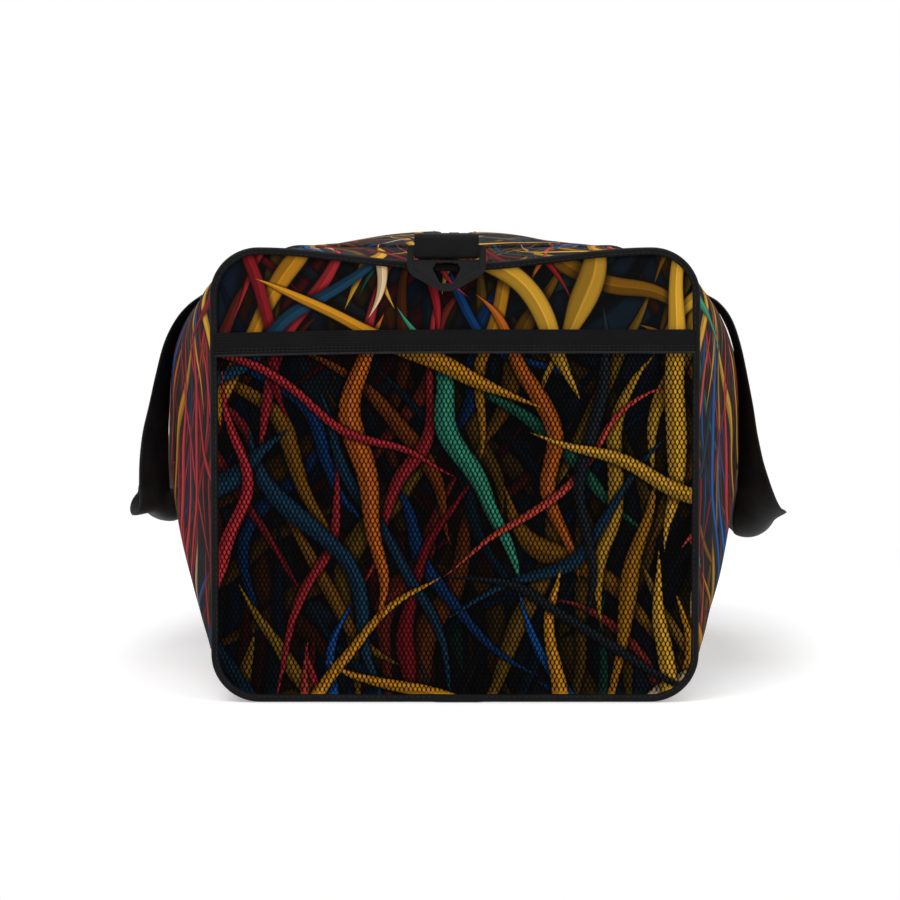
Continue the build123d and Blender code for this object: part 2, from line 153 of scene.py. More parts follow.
def tube_faces(rings, sides):
    """Faces of a tube made of rings of points, with a flat one over each end."""
    faces = [list(f) for f in grid_faces(rings, sides, ring=True)]
    return faces + [list(range(sides))[::-1], list(range((rings - 1) * sides, rings * sides))]


def repeated(faces, points, count):
    """The faces of count copies of a form that has that many points."""
    return [[i + k * points for i in f] for k in range(count) for f in faces]


def apply_modifiers(piece):
    graph = bpy.context.evaluated_depsgraph_get()
    mesh = bpy.data.meshes.new_from_object(piece.evaluated_get(graph))
    piece.modifiers.clear()
    piece.data = mesh
    return piece


def thicken(piece, thick):
    """Gives a sheet its thickness, inwards from its surface."""
    solid = piece.modifiers.new("thick", "SOLIDIFY")
    solid.thickness, solid.offset = thick, -1
    return apply_modifiers(piece)


def bevelled_copy(node, width, body):
    """A CAD node's form with its edges rounded off."""
    source = frame["nodes"][node]
    piece = bpy.data.objects.new(node + "_moulded", source.data.copy())
    scene.collection.objects.link(piece)
    work = bmesh.new()
    work.from_mesh(piece.data)
    bmesh.ops.remove_doubles(work, verts=work.verts, dist=1e-6)
    flat = math.radians(2)
    bmesh.ops.dissolve_limit(work, angle_limit=flat, verts=work.verts, edges=work.edges)
    work.to_mesh(piece.data)
    work.free()
    bevel = piece.modifiers.new("bevel", "BEVEL")
    bevel.width, bevel.segments, bevel.limit_method = width, 3, "ANGLE"
    bevel.angle_limit, bevel.harden_normals = math.radians(35), True
    apply_modifiers(piece)
    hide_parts(node)
    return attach(piece, body)


def lengths_along(points):
    steps = np.linalg.norm(np.diff(points, axis=0), axis=1)
    return np.concatenate([[0], np.cumsum(steps)])


def resampled(points, count):
    """The same line with evenly spaced points."""
    points = np.asarray(points, float)
    run = lengths_along(points)
    even = np.linspace(0, run[-1], count)
    return np.stack([np.interp(even, run, points[:, k]) for k in range(points.shape[1])], 1)


def smooth_line(points, count):
    """Evenly spaced points on a Catmull-Rom curve through the given ones, whatever their width."""
    p = np.asarray(points, float)
    p = np.vstack([2 * p[0] - p[1], p, 2 * p[-1] - p[-2]])
    t = np.linspace(0, 1, 24, endpoint=False)[:, None]
    pieces = []
    for a, b, c, d in zip(p, p[1:], p[2:], p[3:]):
        cubic = 2 * b + (c - a) * t + (2 * a - 5 * b + 4 * c - d) * t**2 + (3 * b - a - 3 * c + d) * t**3
        pieces.append(cubic / 2)
    return resampled(np.vstack([*pieces, p[-2:-1]]), count)


def unit(vectors):
    return vectors / np.maximum(np.linalg.norm(vectors, axis=-1, keepdims=True), 1e-12)


def wave(points, size, seed=0.0):
    """Smooth noise from -1 to 1 at each point, with lumps of about that size."""
    flat = np.asarray(points, float).reshape(-1, 3) / size + seed
    values = np.array([noise.noise(Vector(p)) for p in flat])
    return values.reshape(np.asarray(points).shape[:-1])


def flat_wave(points, size, seed):
    """The same noise at points of a plane."""
    return wave(np.c_[points, points[:, :1] * 0], size, seed)


def hump(distance, width):
    """1 at no distance, fading away beyond that width."""
    return np.exp(-((distance / width) ** 2))


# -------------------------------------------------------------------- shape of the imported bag
def bezier(points, t):
    a, b, c, d = (np.array(p) for p in points)
    t = t[:, None]
    return (1 - t) ** 3 * a + 3 * t * (1 - t) ** 2 * b + 3 * t * t * (1 - t) * c + t**3 * d


class Skin:
    """Right half of the bag's cross-section at y, from the base's middle round to the top's."""

    def __init__(self, y, inset=0.0, end=False):
        along = min(abs(y) / BODY_HALF, 1.0)
        swell = 0.0 if end else 1 - along**SIDE_POWER
        proud = 0.0 if end else BINDING_PROUD
        corner = END_CORNER - proud
        half = END_WIDTH / 2 - proud + SIDE_SWELL * swell - inset
        rise = 0.0 if end else CROWN * (1 - along**CROWN_POWER)
        arch = TOP_ARCH * swell
        top = END_HEIGHT - proud + rise - arch - inset
        end_flat = END_WIDTH / 2 - END_CORNER
        base = end_flat + (BASE_HALF - end_flat) * swell
        flat = end_flat + (TOP_HALF - end_flat) * swell
        lean = 2 * arch / flat
        low = corner + (LOW_ROUND - corner) * swell - inset
        high = corner + (HIGH_ROUND - corner) * swell - inset
        foot, flank, full = (ROUND + (k - ROUND) * swell for k in (LOW_FOOT, LOW_FLANK, HIGH_FULL))
        middle = top + arch - (TOP_DIP if end else TOP_DIP * along**DIP_POWER)
        reach = full * (half - flat)
        t = np.linspace(0, 1, 60)
        points = [
            np.array([(0, inset)]),
            bezier(
                [
                    (base, inset),
                    (base + foot * (half - base), inset),
                    (half, inset + low * (1 - flank)),
                    (half, inset + low),
                ],
                t,
            ),
            bezier(
                [
                    (half, top - high),
                    (half, top - high * (1 - full)),
                    (flat + reach, top - lean * reach),
                    (flat, top),
                ],
                t,
            ),
            bezier(
                [
                    (flat, top),
                    (2 * flat / 3, top + lean * flat / 3),
                    (flat / 3, middle),
                    (0, middle),
                ],
                t,
            ),
        ]
        self.line = np.vstack(points)
        self.run = lengths_along(self.line)
        self.total = self.run[-1]
        self.widest = int(np.argmax(self.line[:, 0]))

    def from_base(self, s):
        """Points (x, z) at signed lengths from the base's middle."""
        s = np.asarray(s, float)
        x, z = (np.interp(np.abs(s), self.run, self.line[:, k]) for k in (0, 1))
        return np.where(s < 0, -x, x), z

    def from_top(self, c):
        """Points (x, z) at signed lengths from the top's middle."""
        c = np.asarray(c, float)
        x, z = self.from_base(self.total - np.abs(c))
        return np.where(c < 0, -x, x), z

    def base_to(self, x):
        """Length from the base's middle to where the lower half passes x."""
        low = slice(0, self.widest + 1)
        return np.interp(x, self.line[low, 0], self.run[low])

    def top_to(self, x):
        """Length from the top's middle to where the upper half passes x."""
        high = slice(self.widest, None)
        return self.total - np.interp(x, self.line[high, 0][::-1], self.run[high][::-1])


def skin_grid(ys, start, end, count, top=False, inset=0.0):
    """Points and cloth coordinates of a stretch of skin; start and end give signed lengths."""
    points, uv = [], []
    for y in ys:
        skin = Skin(y, inset)
        lengths = np.linspace(start(skin), end(skin), count)
        x, z = skin.from_top(lengths) if top else skin.from_base(lengths)
        points.append(np.stack([x, np.full(count, y), z], 1))
        uv.append(np.stack([np.full(count, y), lengths], 1))
    return np.array(points), np.array(uv)


def grid_normals(points, inside):
    """Unit normals of a grid of points, turned away from the point inside."""
    across = np.gradient(points, axis=1)
    along = np.gradient(points, axis=0)
    normals = unit(np.cross(across, along))
    if np.sum(normals * (points - np.array(inside))) < 0:
        normals = -normals
    return normals


def soften(points, edges, seed, depth=1.2 * MM, lift=0.0):
    """Moves a panel's points as full cloth lies: broad waves, puckers and a groove at its seams.
    edges gives each point's distance to its nearest seam."""
    normals = grid_normals(points, BAG_MIDDLE)
    broad = wave(points, 75 * MM, seed) * 1.6 * MM + wave(points, 30 * MM, seed + 9) * 0.5 * MM
    free = 1 - hump(edges, 14 * MM)
    pucker = wave(points, 8 * MM, seed + 21) * 0.55 * MM * np.exp(-edges / (9 * MM))
    groove = -depth * hump(edges, 2.6 * MM)
    height = lift + broad * free + pucker + groove
    return points + normals * height[..., None]


# ----------------------------------------------------------------------------- materials
class Nodes:
    """Short ways to add shader nodes to a tree."""

    def __init__(self, tree):
        self.tree = tree

    def add(self, kind, inputs=(), **settings):
        node = self.tree.nodes.new(kind)
        for name, value in settings.items():
            setattr(node, name, value)
        for key, value in dict(inputs).items():
            self.feed(node.inputs[key], value)
        return node

    def feed(self, socket, value):
        if isinstance(value, bpy.types.NodeSocket):
            self.tree.links.new(value, socket)
        else:
            socket.default_value = value

    def math(self, operation, *values, clamp=False):
        node = self.add("ShaderNodeMath", operation=operation, use_clamp=clamp)
        for socket, value in zip(node.inputs, values):
            self.feed(socket, value)
        return node.outputs[0]

    def vector(self, operation, *values):
        node = self.add("ShaderNodeVectorMath", operation=operation)
        for socket, value in zip(node.inputs, values):
            self.feed(socket, value)
        return node.outputs[0]

    def scaled(self, vector, factor):
        node = self.add("ShaderNodeVectorMath", {0: vector, "Scale": factor}, operation="SCALE")
        return node.outputs[0]

    def step(self, value, low, high, to_low=0.0, to_high=1.0):
        """Smooth ramp of value between low and high."""
        inputs = {"Value": value, "From Min": low, "From Max": high, "To Min": to_low, "To Max": to_high}
        return self.add("ShaderNodeMapRange", inputs, interpolation_type="SMOOTHSTEP").outputs[0]

    def mix(self, share, a, b, blend="MIX"):
        node = self.add("ShaderNodeMix", data_type="RGBA", blend_type=blend, clamp_factor=True)
        for key, value in ((0, share), (6, a), (7, b)):
            self.feed(node.inputs[key], value)
        return node.outputs[2]

    def noise(self, vector, scale, detail=2.0, roughness=0.5):
        inputs = {"Vector": vector, "Scale": scale, "Detail": detail, "Roughness": roughness}
        return self.add("ShaderNodeTexNoise", inputs)

    def ramp(self, value, stops, interpolation="LINEAR"):
        node = self.add("ShaderNodeValToRGB", {"Fac": value})
        node.color_ramp.interpolation = interpolation
        elements = node.color_ramp.elements
        while len(elements) < len(stops):
            elements.new(0.5)
        for element, (place, colour) in zip(elements, stops):
            element.position, element.color = place, (*colour, 1)
        return node.outputs[0]

    def split(self, vector):
        return self.add("ShaderNodeSeparateXYZ", {0: vector}).outputs

    def point(self, *values):
        return self.add("ShaderNodeCombineXYZ", dict(enumerate(values))).outputs[0]

    def turned(self, vector, angle):
        inputs = {"Vector": vector, "Angle": angle}
        return self.add("ShaderNodeVectorRotate", inputs, rotation_type="Z_AXIS").outputs[0]

    def dice(self, vector):
        return self.add("ShaderNodeTexWhiteNoise", {"Vector": vector}, noise_dimensions="3D").outputs

    def seen(self):
        """1 for what the camera sees, also in a reflection or through glass, and otherwise 0."""
        ray = self.add("ShaderNodeLightPath").outputs
        seen = self.math("MAXIMUM", ray["Is Camera Ray"], ray["Is Glossy Ray"])
        return self.math("MAXIMUM", seen, ray["Is Transmission Ray"])


def new_material(name, roughness, specular=0.5):
    material = bpy.data.materials.new(name)
    material.use_nodes = True
    tree = material.node_tree
    shader = next(n for n in tree.nodes if n.type == "BSDF_PRINCIPLED")
    shader.inputs["Roughness"].default_value = roughness
    shader.inputs["Specular IOR Level"].default_value = specular
    return material, Nodes(tree), shader


def add_bump(n, shader, height, distance, strength=1.0):
    inputs = {"Height": height, "Distance": distance, "Strength": strength}
    n.feed(shader.inputs["Normal"], n.add("ShaderNodeBump", inputs).outputs[0])


def sine(n, value, pitch, shift=0.0):
    """Sine of a length, from 0 to 1, repeating every pitch."""
    turned = n.math("MULTIPLY_ADD", value, 2 * math.pi / pitch, shift)
    return n.math("MULTIPLY_ADD", n.math("SINE", turned), 0.5, 0.5)


LEAF_COLOURS = [
    (0.00, (0.50, 0.030, 0.038)),
    (0.17, (0.25, 0.010, 0.016)),
    (0.26, (0.62, 0.075, 0.045)),
    (0.32, (0.012, 0.110, 0.400)),
    (0.44, (0.010, 0.045, 0.085)),
    (0.54, (0.016, 0.020, 0.026)),
    (0.60, (0.050, 0.360, 0.220)),
    (0.63, (0.720, 0.520, 0.290)),
    (0.67, (0.560, 0.130, 0.012)),
    (0.74, (0.640, 0.270, 0.014)),
    (0.86, (0.760, 0.400, 0.035)),
]


def leaf_layer_group():
    """Node group that draws one layer of slender leaf blades over the colour it is given.
    Blades lie in rows of cells, turned by an angle and bent by slow noise."""
    group = bpy.data.node_groups.new("leaf_layer", "ShaderNodeTree")
    numbers = ("Tone", "Tilt", "Angle", "Seed", "Length", "Width", "Fill", "Light")
    sockets = {"Cloth": "Vector", "Under": "Color", **dict.fromkeys(numbers, "Float")}
    for name, kind in sockets.items():
        group.interface.new_socket(name, in_out="INPUT", socket_type=f"NodeSocket{kind}")
    group.interface.new_socket("Colour", in_out="OUTPUT", socket_type="NodeSocketColor")
    n = Nodes(group)
    given = n.add("NodeGroupInput").outputs
    seed = n.point(given["Seed"], given["Seed"], given["Seed"])
    slow = n.noise(n.vector("ADD", given["Cloth"], seed), 8.0, 1.0).outputs["Color"]
    bent = n.vector("ADD", given["Cloth"], n.scaled(n.vector("SUBTRACT", slow, (0.5, 0.5, 0.5)), 0.085))
    x, y, _ = n.split(n.turned(bent, given["Angle"]))
    v = n.math("DIVIDE", y, given["Width"])
    row = n.math("FLOOR", v)
    shift = n.math("MULTIPLY", n.dice(n.vector("ADD", n.point(row), seed))["Value"], 7.3)
    u = n.math("ADD", n.math("DIVIDE", x, given["Length"]), shift)
    column = n.math("FLOOR", u)
    dice = n.dice(n.point(column, row, given["Seed"]))
    r1, r2, r3 = n.split(dice["Color"])
    middle_u = n.math("SUBTRACT", n.math("ADD", column, 0.5), shift)
    middle_x = n.math("MULTIPLY", middle_u, given["Length"])
    middle_y = n.math("MULTIPLY", n.math("ADD", row, 0.5), given["Width"])
    middle = n.turned(n.point(middle_x, middle_y), n.math("MULTIPLY", given["Angle"], -1.0))
    tone = n.math("MULTIPLY_ADD", n.split(middle)[0], given["Tilt"], given["Tone"])
    tone = n.math("MINIMUM", n.math("MAXIMUM", tone, 0.25), 3.0)
    along = n.math("MULTIPLY_ADD", n.math("FRACT", u), 2.0, -1.0)
    side = n.math("MULTIPLY_ADD", n.math("FRACT", v), 2.0, -1.0)
    square = n.math("MULTIPLY", along, along)
    bow = n.math("MULTIPLY", n.math("SUBTRACT", r2, 0.5), n.math("MULTIPLY_ADD", square, 0.9, -0.35))
    place = n.math("SUBTRACT", side, bow)
    taper = n.math("SUBTRACT", 1.0, n.math("POWER", n.math("ABSOLUTE", along), 2.4))
    half = n.math("MULTIPLY", n.math("MULTIPLY_ADD", r3, 0.28, 0.34), taper)
    across = n.math("DIVIDE", place, n.math("MAXIMUM", half, 0.004))
    distance = n.math("ABSOLUTE", across)
    there = n.math("LESS_THAN", dice["Value"], given["Fill"])
    blade = n.math("MULTIPLY", n.step(distance, 1.0, 0.86), there)
    halo = n.math("MULTIPLY", n.step(distance, 1.9, 0.95), there)
    lit_half = n.step(across, -0.12, 0.12, 0.62, 1.0)
    rib = n.step(distance, 0.13, 0.03, 1.0, 1.45)
    edge = n.step(distance, 0.55, 1.0, 1.0, 0.5)
    vary = n.math("MULTIPLY_ADD", r1, 0.5, 0.65)
    shade = n.math("MULTIPLY", n.math("MULTIPLY", lit_half, rib), n.math("MULTIPLY", edge, vary))
    shade = n.math("MULTIPLY", shade, given["Light"])
    hue = n.ramp(n.math("POWER", r3, tone), LEAF_COLOURS, "CONSTANT")
    colour = n.scaled(hue, shade)
    dim = n.math("MULTIPLY_ADD", halo, -0.8, 1.0)
    under = n.scaled(given["Under"], dim)
    out = n.add("NodeGroupOutput")
    n.feed(out.inputs["Colour"], n.mix(blade, under, colour))
    return group


# angle in degrees, cell length, cell width, share of cells with a blade, brightness
LEAF_LAYERS = [
    (8, 0.130, 0.028, 0.70, 0.02),
    (-28, 0.120, 0.022, 0.70, 0.04),
    (52, 0.130, 0.020, 0.55, 0.06),
    (-6, 0.150, 0.018, 0.60, 0.10),
    (24, 0.140, 0.020, 0.55, 0.17),
    (-44, 0.160, 0.017, 0.45, 0.32),
    (14, 0.170, 0.019, 0.48, 0.70),
    (-20, 0.180, 0.021, 0.42, 0.95),
    (48, 0.170, 0.018, 0.28, 1.10),
    (2, 0.200, 0.022, 0.32, 1.25),
    (-68, 0.190, 0.018, 0.14, 1.25),
]


def make_print(name, turn, tone, tilt=0.0, fine=1.0):
    """Printed cloth: a thicket of leaf blades, dark below and bright on top. A low tone gives
    more amber and a high one more red; tilt is its change per metre across the cloth, and
    fine is the blades' width."""
    material, n, shader = new_material(name, roughness=0.85, specular=0.08)
    cloth = n.add("ShaderNodeUVMap", uv_map="cloth").outputs[0]
    # Painted light: a factor on the print colour, above 1 where the print is brightened to cancel the
    # pocket net's shade
    painted_light_gain = n.add("ShaderNodeAttribute", attribute_name="painted_light_gain").outputs["Fac"]
    cloud = n.noise(cloth, 14.0, 3.0).outputs["Fac"]
    colour = n.ramp(cloud, [(0.40, (0.0015, 0.0015, 0.002)), (0.75, (0.004, 0.010, 0.018))])
    for k, (angle, length, width, fill, light) in enumerate(LEAF_LAYERS):
        layer = n.add("ShaderNodeGroup", node_tree=leaf_layer)
        values = {
            "Cloth": cloth,
            "Under": colour,
            "Tone": tone,
            "Tilt": tilt,
            "Angle": math.radians(angle + turn),
            "Seed": 3.7 * k + 1.3,
            "Length": length,
            "Width": width * fine,
            "Fill": fill,
            "Light": light,
        }
        for key, value in values.items():
            n.feed(layer.inputs[key], value)
        colour = layer.outputs[0]
    grain = n.noise(cloth, 2600.0, 1.0).outputs["Fac"]
    grain = n.step(grain, 0.2, 0.8, 0.86, 1.1)
    n.feed(shader.inputs["Base Color"], n.scaled(colour, n.math("MULTIPLY", grain, painted_light_gain)))
    u, v, _ = n.split(cloth)
    weave = plain_weave(0.7 * MM)(n, u, v)
    slack = n.noise(cloth, 90.0, 3.0).outputs["Fac"]
    add_bump(n, shader, n.math("MULTIPLY_ADD", slack, 2.5, weave), 0.12 * MM, 0.8)
    return material


def make_black_cloth(name, roughness, height, shade=0.005, fade=0.6, bump=0.12 * MM, specular=0.1):
    """Black textile; height builds its weave from the two cloth coordinates."""
    material, n, shader = new_material(name, roughness, specular=specular)
    cloth = n.add("ShaderNodeUVMap", uv_map="cloth").outputs[0]
    u, v, _ = n.split(cloth)
    relief = height(n, u, v)
    worn = n.noise(cloth, 60.0, 4.0).outputs["Fac"]
    dark, light = [shade * (1 - fade / 2)] * 3, [shade * (1 + fade)] * 3
    base = n.ramp(worn, [(0.3, dark), (0.75, light)])
    # Painted light and shade: the weave's raised threads are drawn lighter (up to 1.35 times) and its
    # hollows darker (down to 0.6 times)
    thread = n.step(relief, 0.1, 0.9, 0.6, 1.35)
    n.feed(shader.inputs["Base Color"], n.scaled(base, thread))
    add_bump(n, shader, relief, bump)
    return material


def strap_weave(n, u, v, pitch_u=1.1 * MM, pitch_v=0.8 * MM):
    """Relief of a woven strap: threads along v between threads along u."""
    flip = n.math("MULTIPLY", n.math("FLOOR", n.math("DIVIDE", v, pitch_v)), math.pi)
    place = n.math("ADD", n.math("MULTIPLY", u, math.pi / pitch_u), flip)
    over = n.math("MULTIPLY_ADD", n.math("SINE", place), 0.5, 0.5)
    rope = n.math("ABSOLUTE", n.math("SINE", n.math("MULTIPLY", v, math.pi / pitch_v)))
    return n.math("MULTIPLY", n.math("MULTIPLY_ADD", over, 0.6, 0.4), n.math("POWER", rope, 0.6))


def twill(pitch):
    return lambda n, u, v: n.math("POWER", sine(n, n.math("ADD", u, v), pitch), 0.7)


def plain_weave(pitch):
    return lambda n, u, v: n.math("MULTIPLY", sine(n, u, pitch), sine(n, v, pitch))


def make_plastic(name, shade, roughness, specular=0.4):
    """Moulded black plastic with a fine spark-eroded grain and faint scuffs."""
    material, n, shader = new_material(name, roughness, specular)
    place = n.add("ShaderNodeTexCoord").outputs["Object"]
    fine = n.noise(place, 3200.0, 2.0).outputs["Fac"]
    scuff = n.noise(place, 220.0, 4.0, 0.7).outputs["Fac"]
    colour = n.ramp(scuff, [(0.35, [shade * 0.8] * 3), (0.8, [shade * 1.7] * 3)])
    n.feed(shader.inputs["Base Color"], colour)
    n.feed(shader.inputs["Roughness"], n.step(scuff, 0.3, 0.8, roughness, roughness + 0.15))
    add_bump(n, shader, fine, 0.05 * MM, 0.5)
    return material


def make_coated_metal():
    """Black lacquer on a zinc casting, worn to grey at its highest edges."""
    material, n, shader = new_material("coated_metal", 0.34, specular=0.5)
    place = n.add("ShaderNodeTexCoord").outputs["Object"]
    wear = n.noise(place, 500.0, 4.0, 0.7).outputs["Fac"]
    edge = n.add("ShaderNodeNewGeometry").outputs["Pointiness"]
    worn = n.math("MULTIPLY", n.step(edge, 0.52, 0.6), n.step(wear, 0.45, 0.7))
    n.feed(shader.inputs["Base Color"], n.mix(worn, (0.012, 0.012, 0.013, 1), (0.16, 0.155, 0.15, 1)))
    n.feed(shader.inputs["Roughness"], n.step(wear, 0.3, 0.8, 0.28, 0.5))
    add_bump(n, shader, wear, 0.04 * MM, 0.5)
    return material


leaf_layer = leaf_layer_group()
end_prints = {
    "near": make_print("end_print_near", 90, tone=0.8, tilt=-4.0),
    "far": make_print("end_print_far", 90, tone=0.8, tilt=4.0),
}
side_prints = {
    "left": make_print("side_print_left", 78, tone=2.2, fine=0.8),
    "right": make_print("side_print_right", 78, tone=0.75, fine=0.8),
}
base_print = make_print("base_print", 78, tone=1.0)
top_print = make_print("top_print", 4, tone=0.7, fine=0.55)
# Painted light: the tab's and the handles' webbing are one strap in two tones; the handles' copy is drawn
# lighter for their shaded faces, and the tab's copy darker
webbing = make_black_cloth("webbing", 0.5, strap_weave, shade=0.003, bump=0.15 * MM)
handle_webbing_painted_lighter = make_black_cloth("handle_webbing_painted_lighter", 0.6, strap_weave, shade=0.021, bump=0.15 * MM)
binding = make_black_cloth("binding", 0.7, twill(1.25 * MM), bump=0.2 * MM)
elastic = make_black_cloth("elastic", 0.74, plain_weave(0.9 * MM), shade=0.004)
net = make_black_cloth("net", 0.8, twill(0.5 * MM), shade=0.0012, bump=0.1 * MM, specular=0.02)
thread = make_black_cloth("thread", 0.5, twill(0.4 * MM), shade=0.016, bump=0.06 * MM)
tape = make_black_cloth("tape", 0.7, twill(0.8 * MM), shade=0.009)
lining = make_black_cloth("lining", 0.55, plain_weave(0.8 * MM), shade=0.03, bump=0.08 * MM)
acetal = make_plastic("acetal", 0.004, 0.42, specular=0.16)
nylon = make_plastic("nylon", 0.010, 0.38)
board = make_plastic("board", 0.020, 0.6)
coated_metal = make_coated_metal()


def dress(piece, material, slot, body=None, *nodes):
    """Gives a piece its material, the body it moves with and the nodes it replaces; slot is not used."""
    piece.data.materials.clear()
    piece.data.materials.append(material)
    if nodes:
        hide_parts(*nodes)
    if body:
        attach(piece, body)
    return piece


def bend(piece, sign):
    """Half a piece of the mouth: bakes its placement into its mesh. The points where it would stay at its
    end of the bag and move with the body further in are set up but not used.
    """
    start, moving = (0, sign * MOUTH_HALF, 0), (0, sign * MOUTH_HALF * 0.28, 0)
    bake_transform(piece)
    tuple(start)
    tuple(moving)


# ------------------------------------------------------------------------ stitches and straps
def stitch_line(points, normals, pitch=3.2 * MM, length=2.5 * MM, radius=0.24 * MM):
    """Points and faces of short thread stitches that lie along a line. normals has one
    direction for each point, or one for the whole line."""
    points = np.asarray(points, float)
    normals = np.broadcast_to(np.asarray(normals, float), points.shape)
    run = lengths_along(points)
    count = max(2, int(run[-1] / pitch))
    at = (np.arange(count) + 0.5) * run[-1] / count

    def sampled(values, places):
        return np.stack([np.interp(places, run, values[:, k]) for k in range(3)], 1)

    centre, up = sampled(points, at), unit(sampled(normals, at))
    way = unit(sampled(points, at + 1e-4) - sampled(points, at - 1e-4))
    side = np.cross(up, way)
    sides = 6
    turn = np.arange(sides) * 2 * math.pi / sides
    rings = [(-0.5, -0.9, 0.6), (-0.32, 0.3, 1.0), (0.0, 0.7, 1.1), (0.32, 0.3, 1.0), (0.5, -0.9, 0.6)]
    local = []
    for share, rise, thick in rings:
        for angle in turn:
            y, z = thick * radius * math.cos(angle), thick * radius * math.sin(angle)
            local.append((share * length, y, rise * radius + z))
    local = np.array(local)
    all_points = (
        centre[:, None]
        + way[:, None] * local[None, :, :1]
        + side[:, None] * local[None, :, 1:2]
        + up[:, None] * local[None, :, 2:3]
    )
    return all_points.reshape(-1, 3), repeated(tube_faces(len(rings), sides), len(local), count)


def thread_piece(name, lines, body, **sizes):
    """All the stitches of one seam as a piece; lines holds pairs of points and normals."""
    points, faces, start = [], [], 0
    for line, normals in lines:
        p, f = stitch_line(line, normals, **sizes)
        points.append(p)
        faces += [[i + start for i in face] for face in f]
        start += len(p)
    points = np.vstack(points)
    uv = points[:, :2] + points[:, 2:]
    return dress(new_piece(name, points, faces, uv), thread, "webbing", body)


def strap(name, path, wide, width=WEBBING, thick=STRAP_THICK, curl=None, columns=20):
    """A strip of webbing along a path. wide is its width direction, at each point or once for
    all, and curl its bend across the width, as the angle that half of the width turns through."""
    path = np.asarray(path, float)
    wide = unit(np.broadcast_to(np.asarray(wide, float), path.shape))
    way = unit(np.gradient(path, axis=0))
    up = unit(np.cross(way, wide))
    wide = np.cross(up, way)
    curl = np.zeros(len(path)) if curl is None else np.asarray(curl, float)
    across = np.linspace(-1, 1, columns)
    angle = curl[:, None] * across[None]
    bent = np.where(np.abs(curl) < 1e-3, 1e-3, curl)[:, None]
    sideways = np.sin(bent * across[None]) / bent * width / 2
    rise = (1 - np.cos(bent * across[None])) / bent * width / 2
    edge = np.sqrt(np.clip(1 - np.abs(across) ** 10, 0, 1)) * 0.65 + 0.35
    half = thick / 2 * edge[None, :, None]
    middle = path[:, None] + wide[:, None] * sideways[..., None] + up[:, None] * rise[..., None]
    out = up[:, None] * np.cos(angle)[..., None] - wide[:, None] * np.sin(angle)[..., None]
    points = np.concatenate([middle + out * half, (middle - out * half)[:, ::-1]], 1)
    run = lengths_along(path)[:, None]
    v = np.concatenate([across, across[::-1]])[None] * width / 2
    uv = np.stack(np.broadcast_arrays(run, v), -1)
    piece = new_piece(name, points, tube_faces(*points.shape[:2]), uv)
    work = bmesh.new()
    work.from_mesh(piece.data)
    bmesh.ops.recalc_face_normals(work, faces=work.faces)
    work.to_mesh(piece.data)
    work.free()
    return piece


def rounded(points, radii):
    """A polyline with its inner corners rounded to the given radii."""
    points = [np.array(p, float) for p in points]
    line = [points[0]]
    for before, corner, after, radius in zip(points, points[1:], points[2:], radii):
        a, b = unit(before - corner), unit(after - corner)
        half = math.acos(max(-1, min(1, float(a @ b)))) / 2
        back = radius / math.tan(half)
        centre = corner + unit(a + b) * radius / math.sin(half)
        first, last = corner + a * back - centre, corner + b * back - centre
        sweep = math.pi - 2 * half
        for t in np.linspace(0, 1, 9):
            spoke = math.sin((1 - t) * sweep) * first + math.sin(t * sweep) * last
            line.append(centre + spoke / math.sin(sweep))
    line.append(points[-1])
    return np.array(line)


# --------------------------------------------------------------------- printed cloth panels
def seam_distance(uv):
    """Each grid point's distance, across the bag, to the nearer side of its panel."""
    return np.minimum(np.abs(uv[..., 1] - uv[:, :1, 1]), np.abs(uv[:, -1:, 1] - uv[..., 1]))


def edge_distance(uv):
    """Each grid point's distance to the nearest side of its panel, along the cloth."""
    u_near = np.minimum(uv[..., 0] - uv[0, 0, 0], uv[-1, 0, 0] - uv[..., 0])
    return np.minimum(seam_distance(uv), np.abs(u_near))


def mouth_width(ys, count, inset=0.0):
    """Grid of the top from one mouth seam to the other."""
    seam = MOUTH_SEAM
    return skin_grid(ys, lambda s: -s.top_to(seam), lambda s: s.top_to(seam), count, True, inset)


ALONG = np.linspace(-BODY_HALF, BODY_HALF, 150)


def make_sides():
    for (side, sign), seed in zip(SIDES, (3.0, 17.0)):
        points, uv = skin_grid(
            ALONG, lambda s: s.base_to(BASE_SEAM), lambda s: s.total - s.top_to(MOUTH_SEAM), 90
        )
        points[..., 0] *= sign
        points = soften(points, edge_distance(uv), seed)
        piece = grid_piece(f"side_cloth_{side}", points, uv)
        dress(piece, side_prints[side], "printed_cloth", "bag_body", f"side_panel_{side}")


def make_base():
    points, uv = skin_grid(ALONG, lambda s: -s.base_to(BASE_SEAM), lambda s: s.base_to(BASE_SEAM), 60)
    rest = points.copy()
    points = soften(points, edge_distance(uv), 31.0)
    z = np.maximum(points[..., 2], 0.3 * MM)
    points[..., 2] = np.where(rest[..., 2] < 1 * MM, np.minimum(z, 1.2 * MM), z)
    piece = grid_piece("base_cloth", points, uv)
    dress(piece, base_print, "printed_cloth", "bag_body", "base_panel")


def make_end_strips():
    """The cloth over each end of the mouth, with its edge folded under beside the mouth."""
    for end, sign in ENDS:
        ys = sign * np.linspace(MOUTH_HALF + 0.4 * MM, BODY_HALF, 26)
        points, uv = mouth_width(ys, 90)
        near = np.minimum(seam_distance(uv), BODY_HALF - np.abs(points[..., 1]))
        points = soften(points, near, 41.0 + sign)
        piece = grid_piece(f"end_strip_cloth_{end}", points, uv)
        dress(thicken(piece, 1.2 * MM), top_print, "printed_cloth", "bag_body", f"end_strip_{end}")


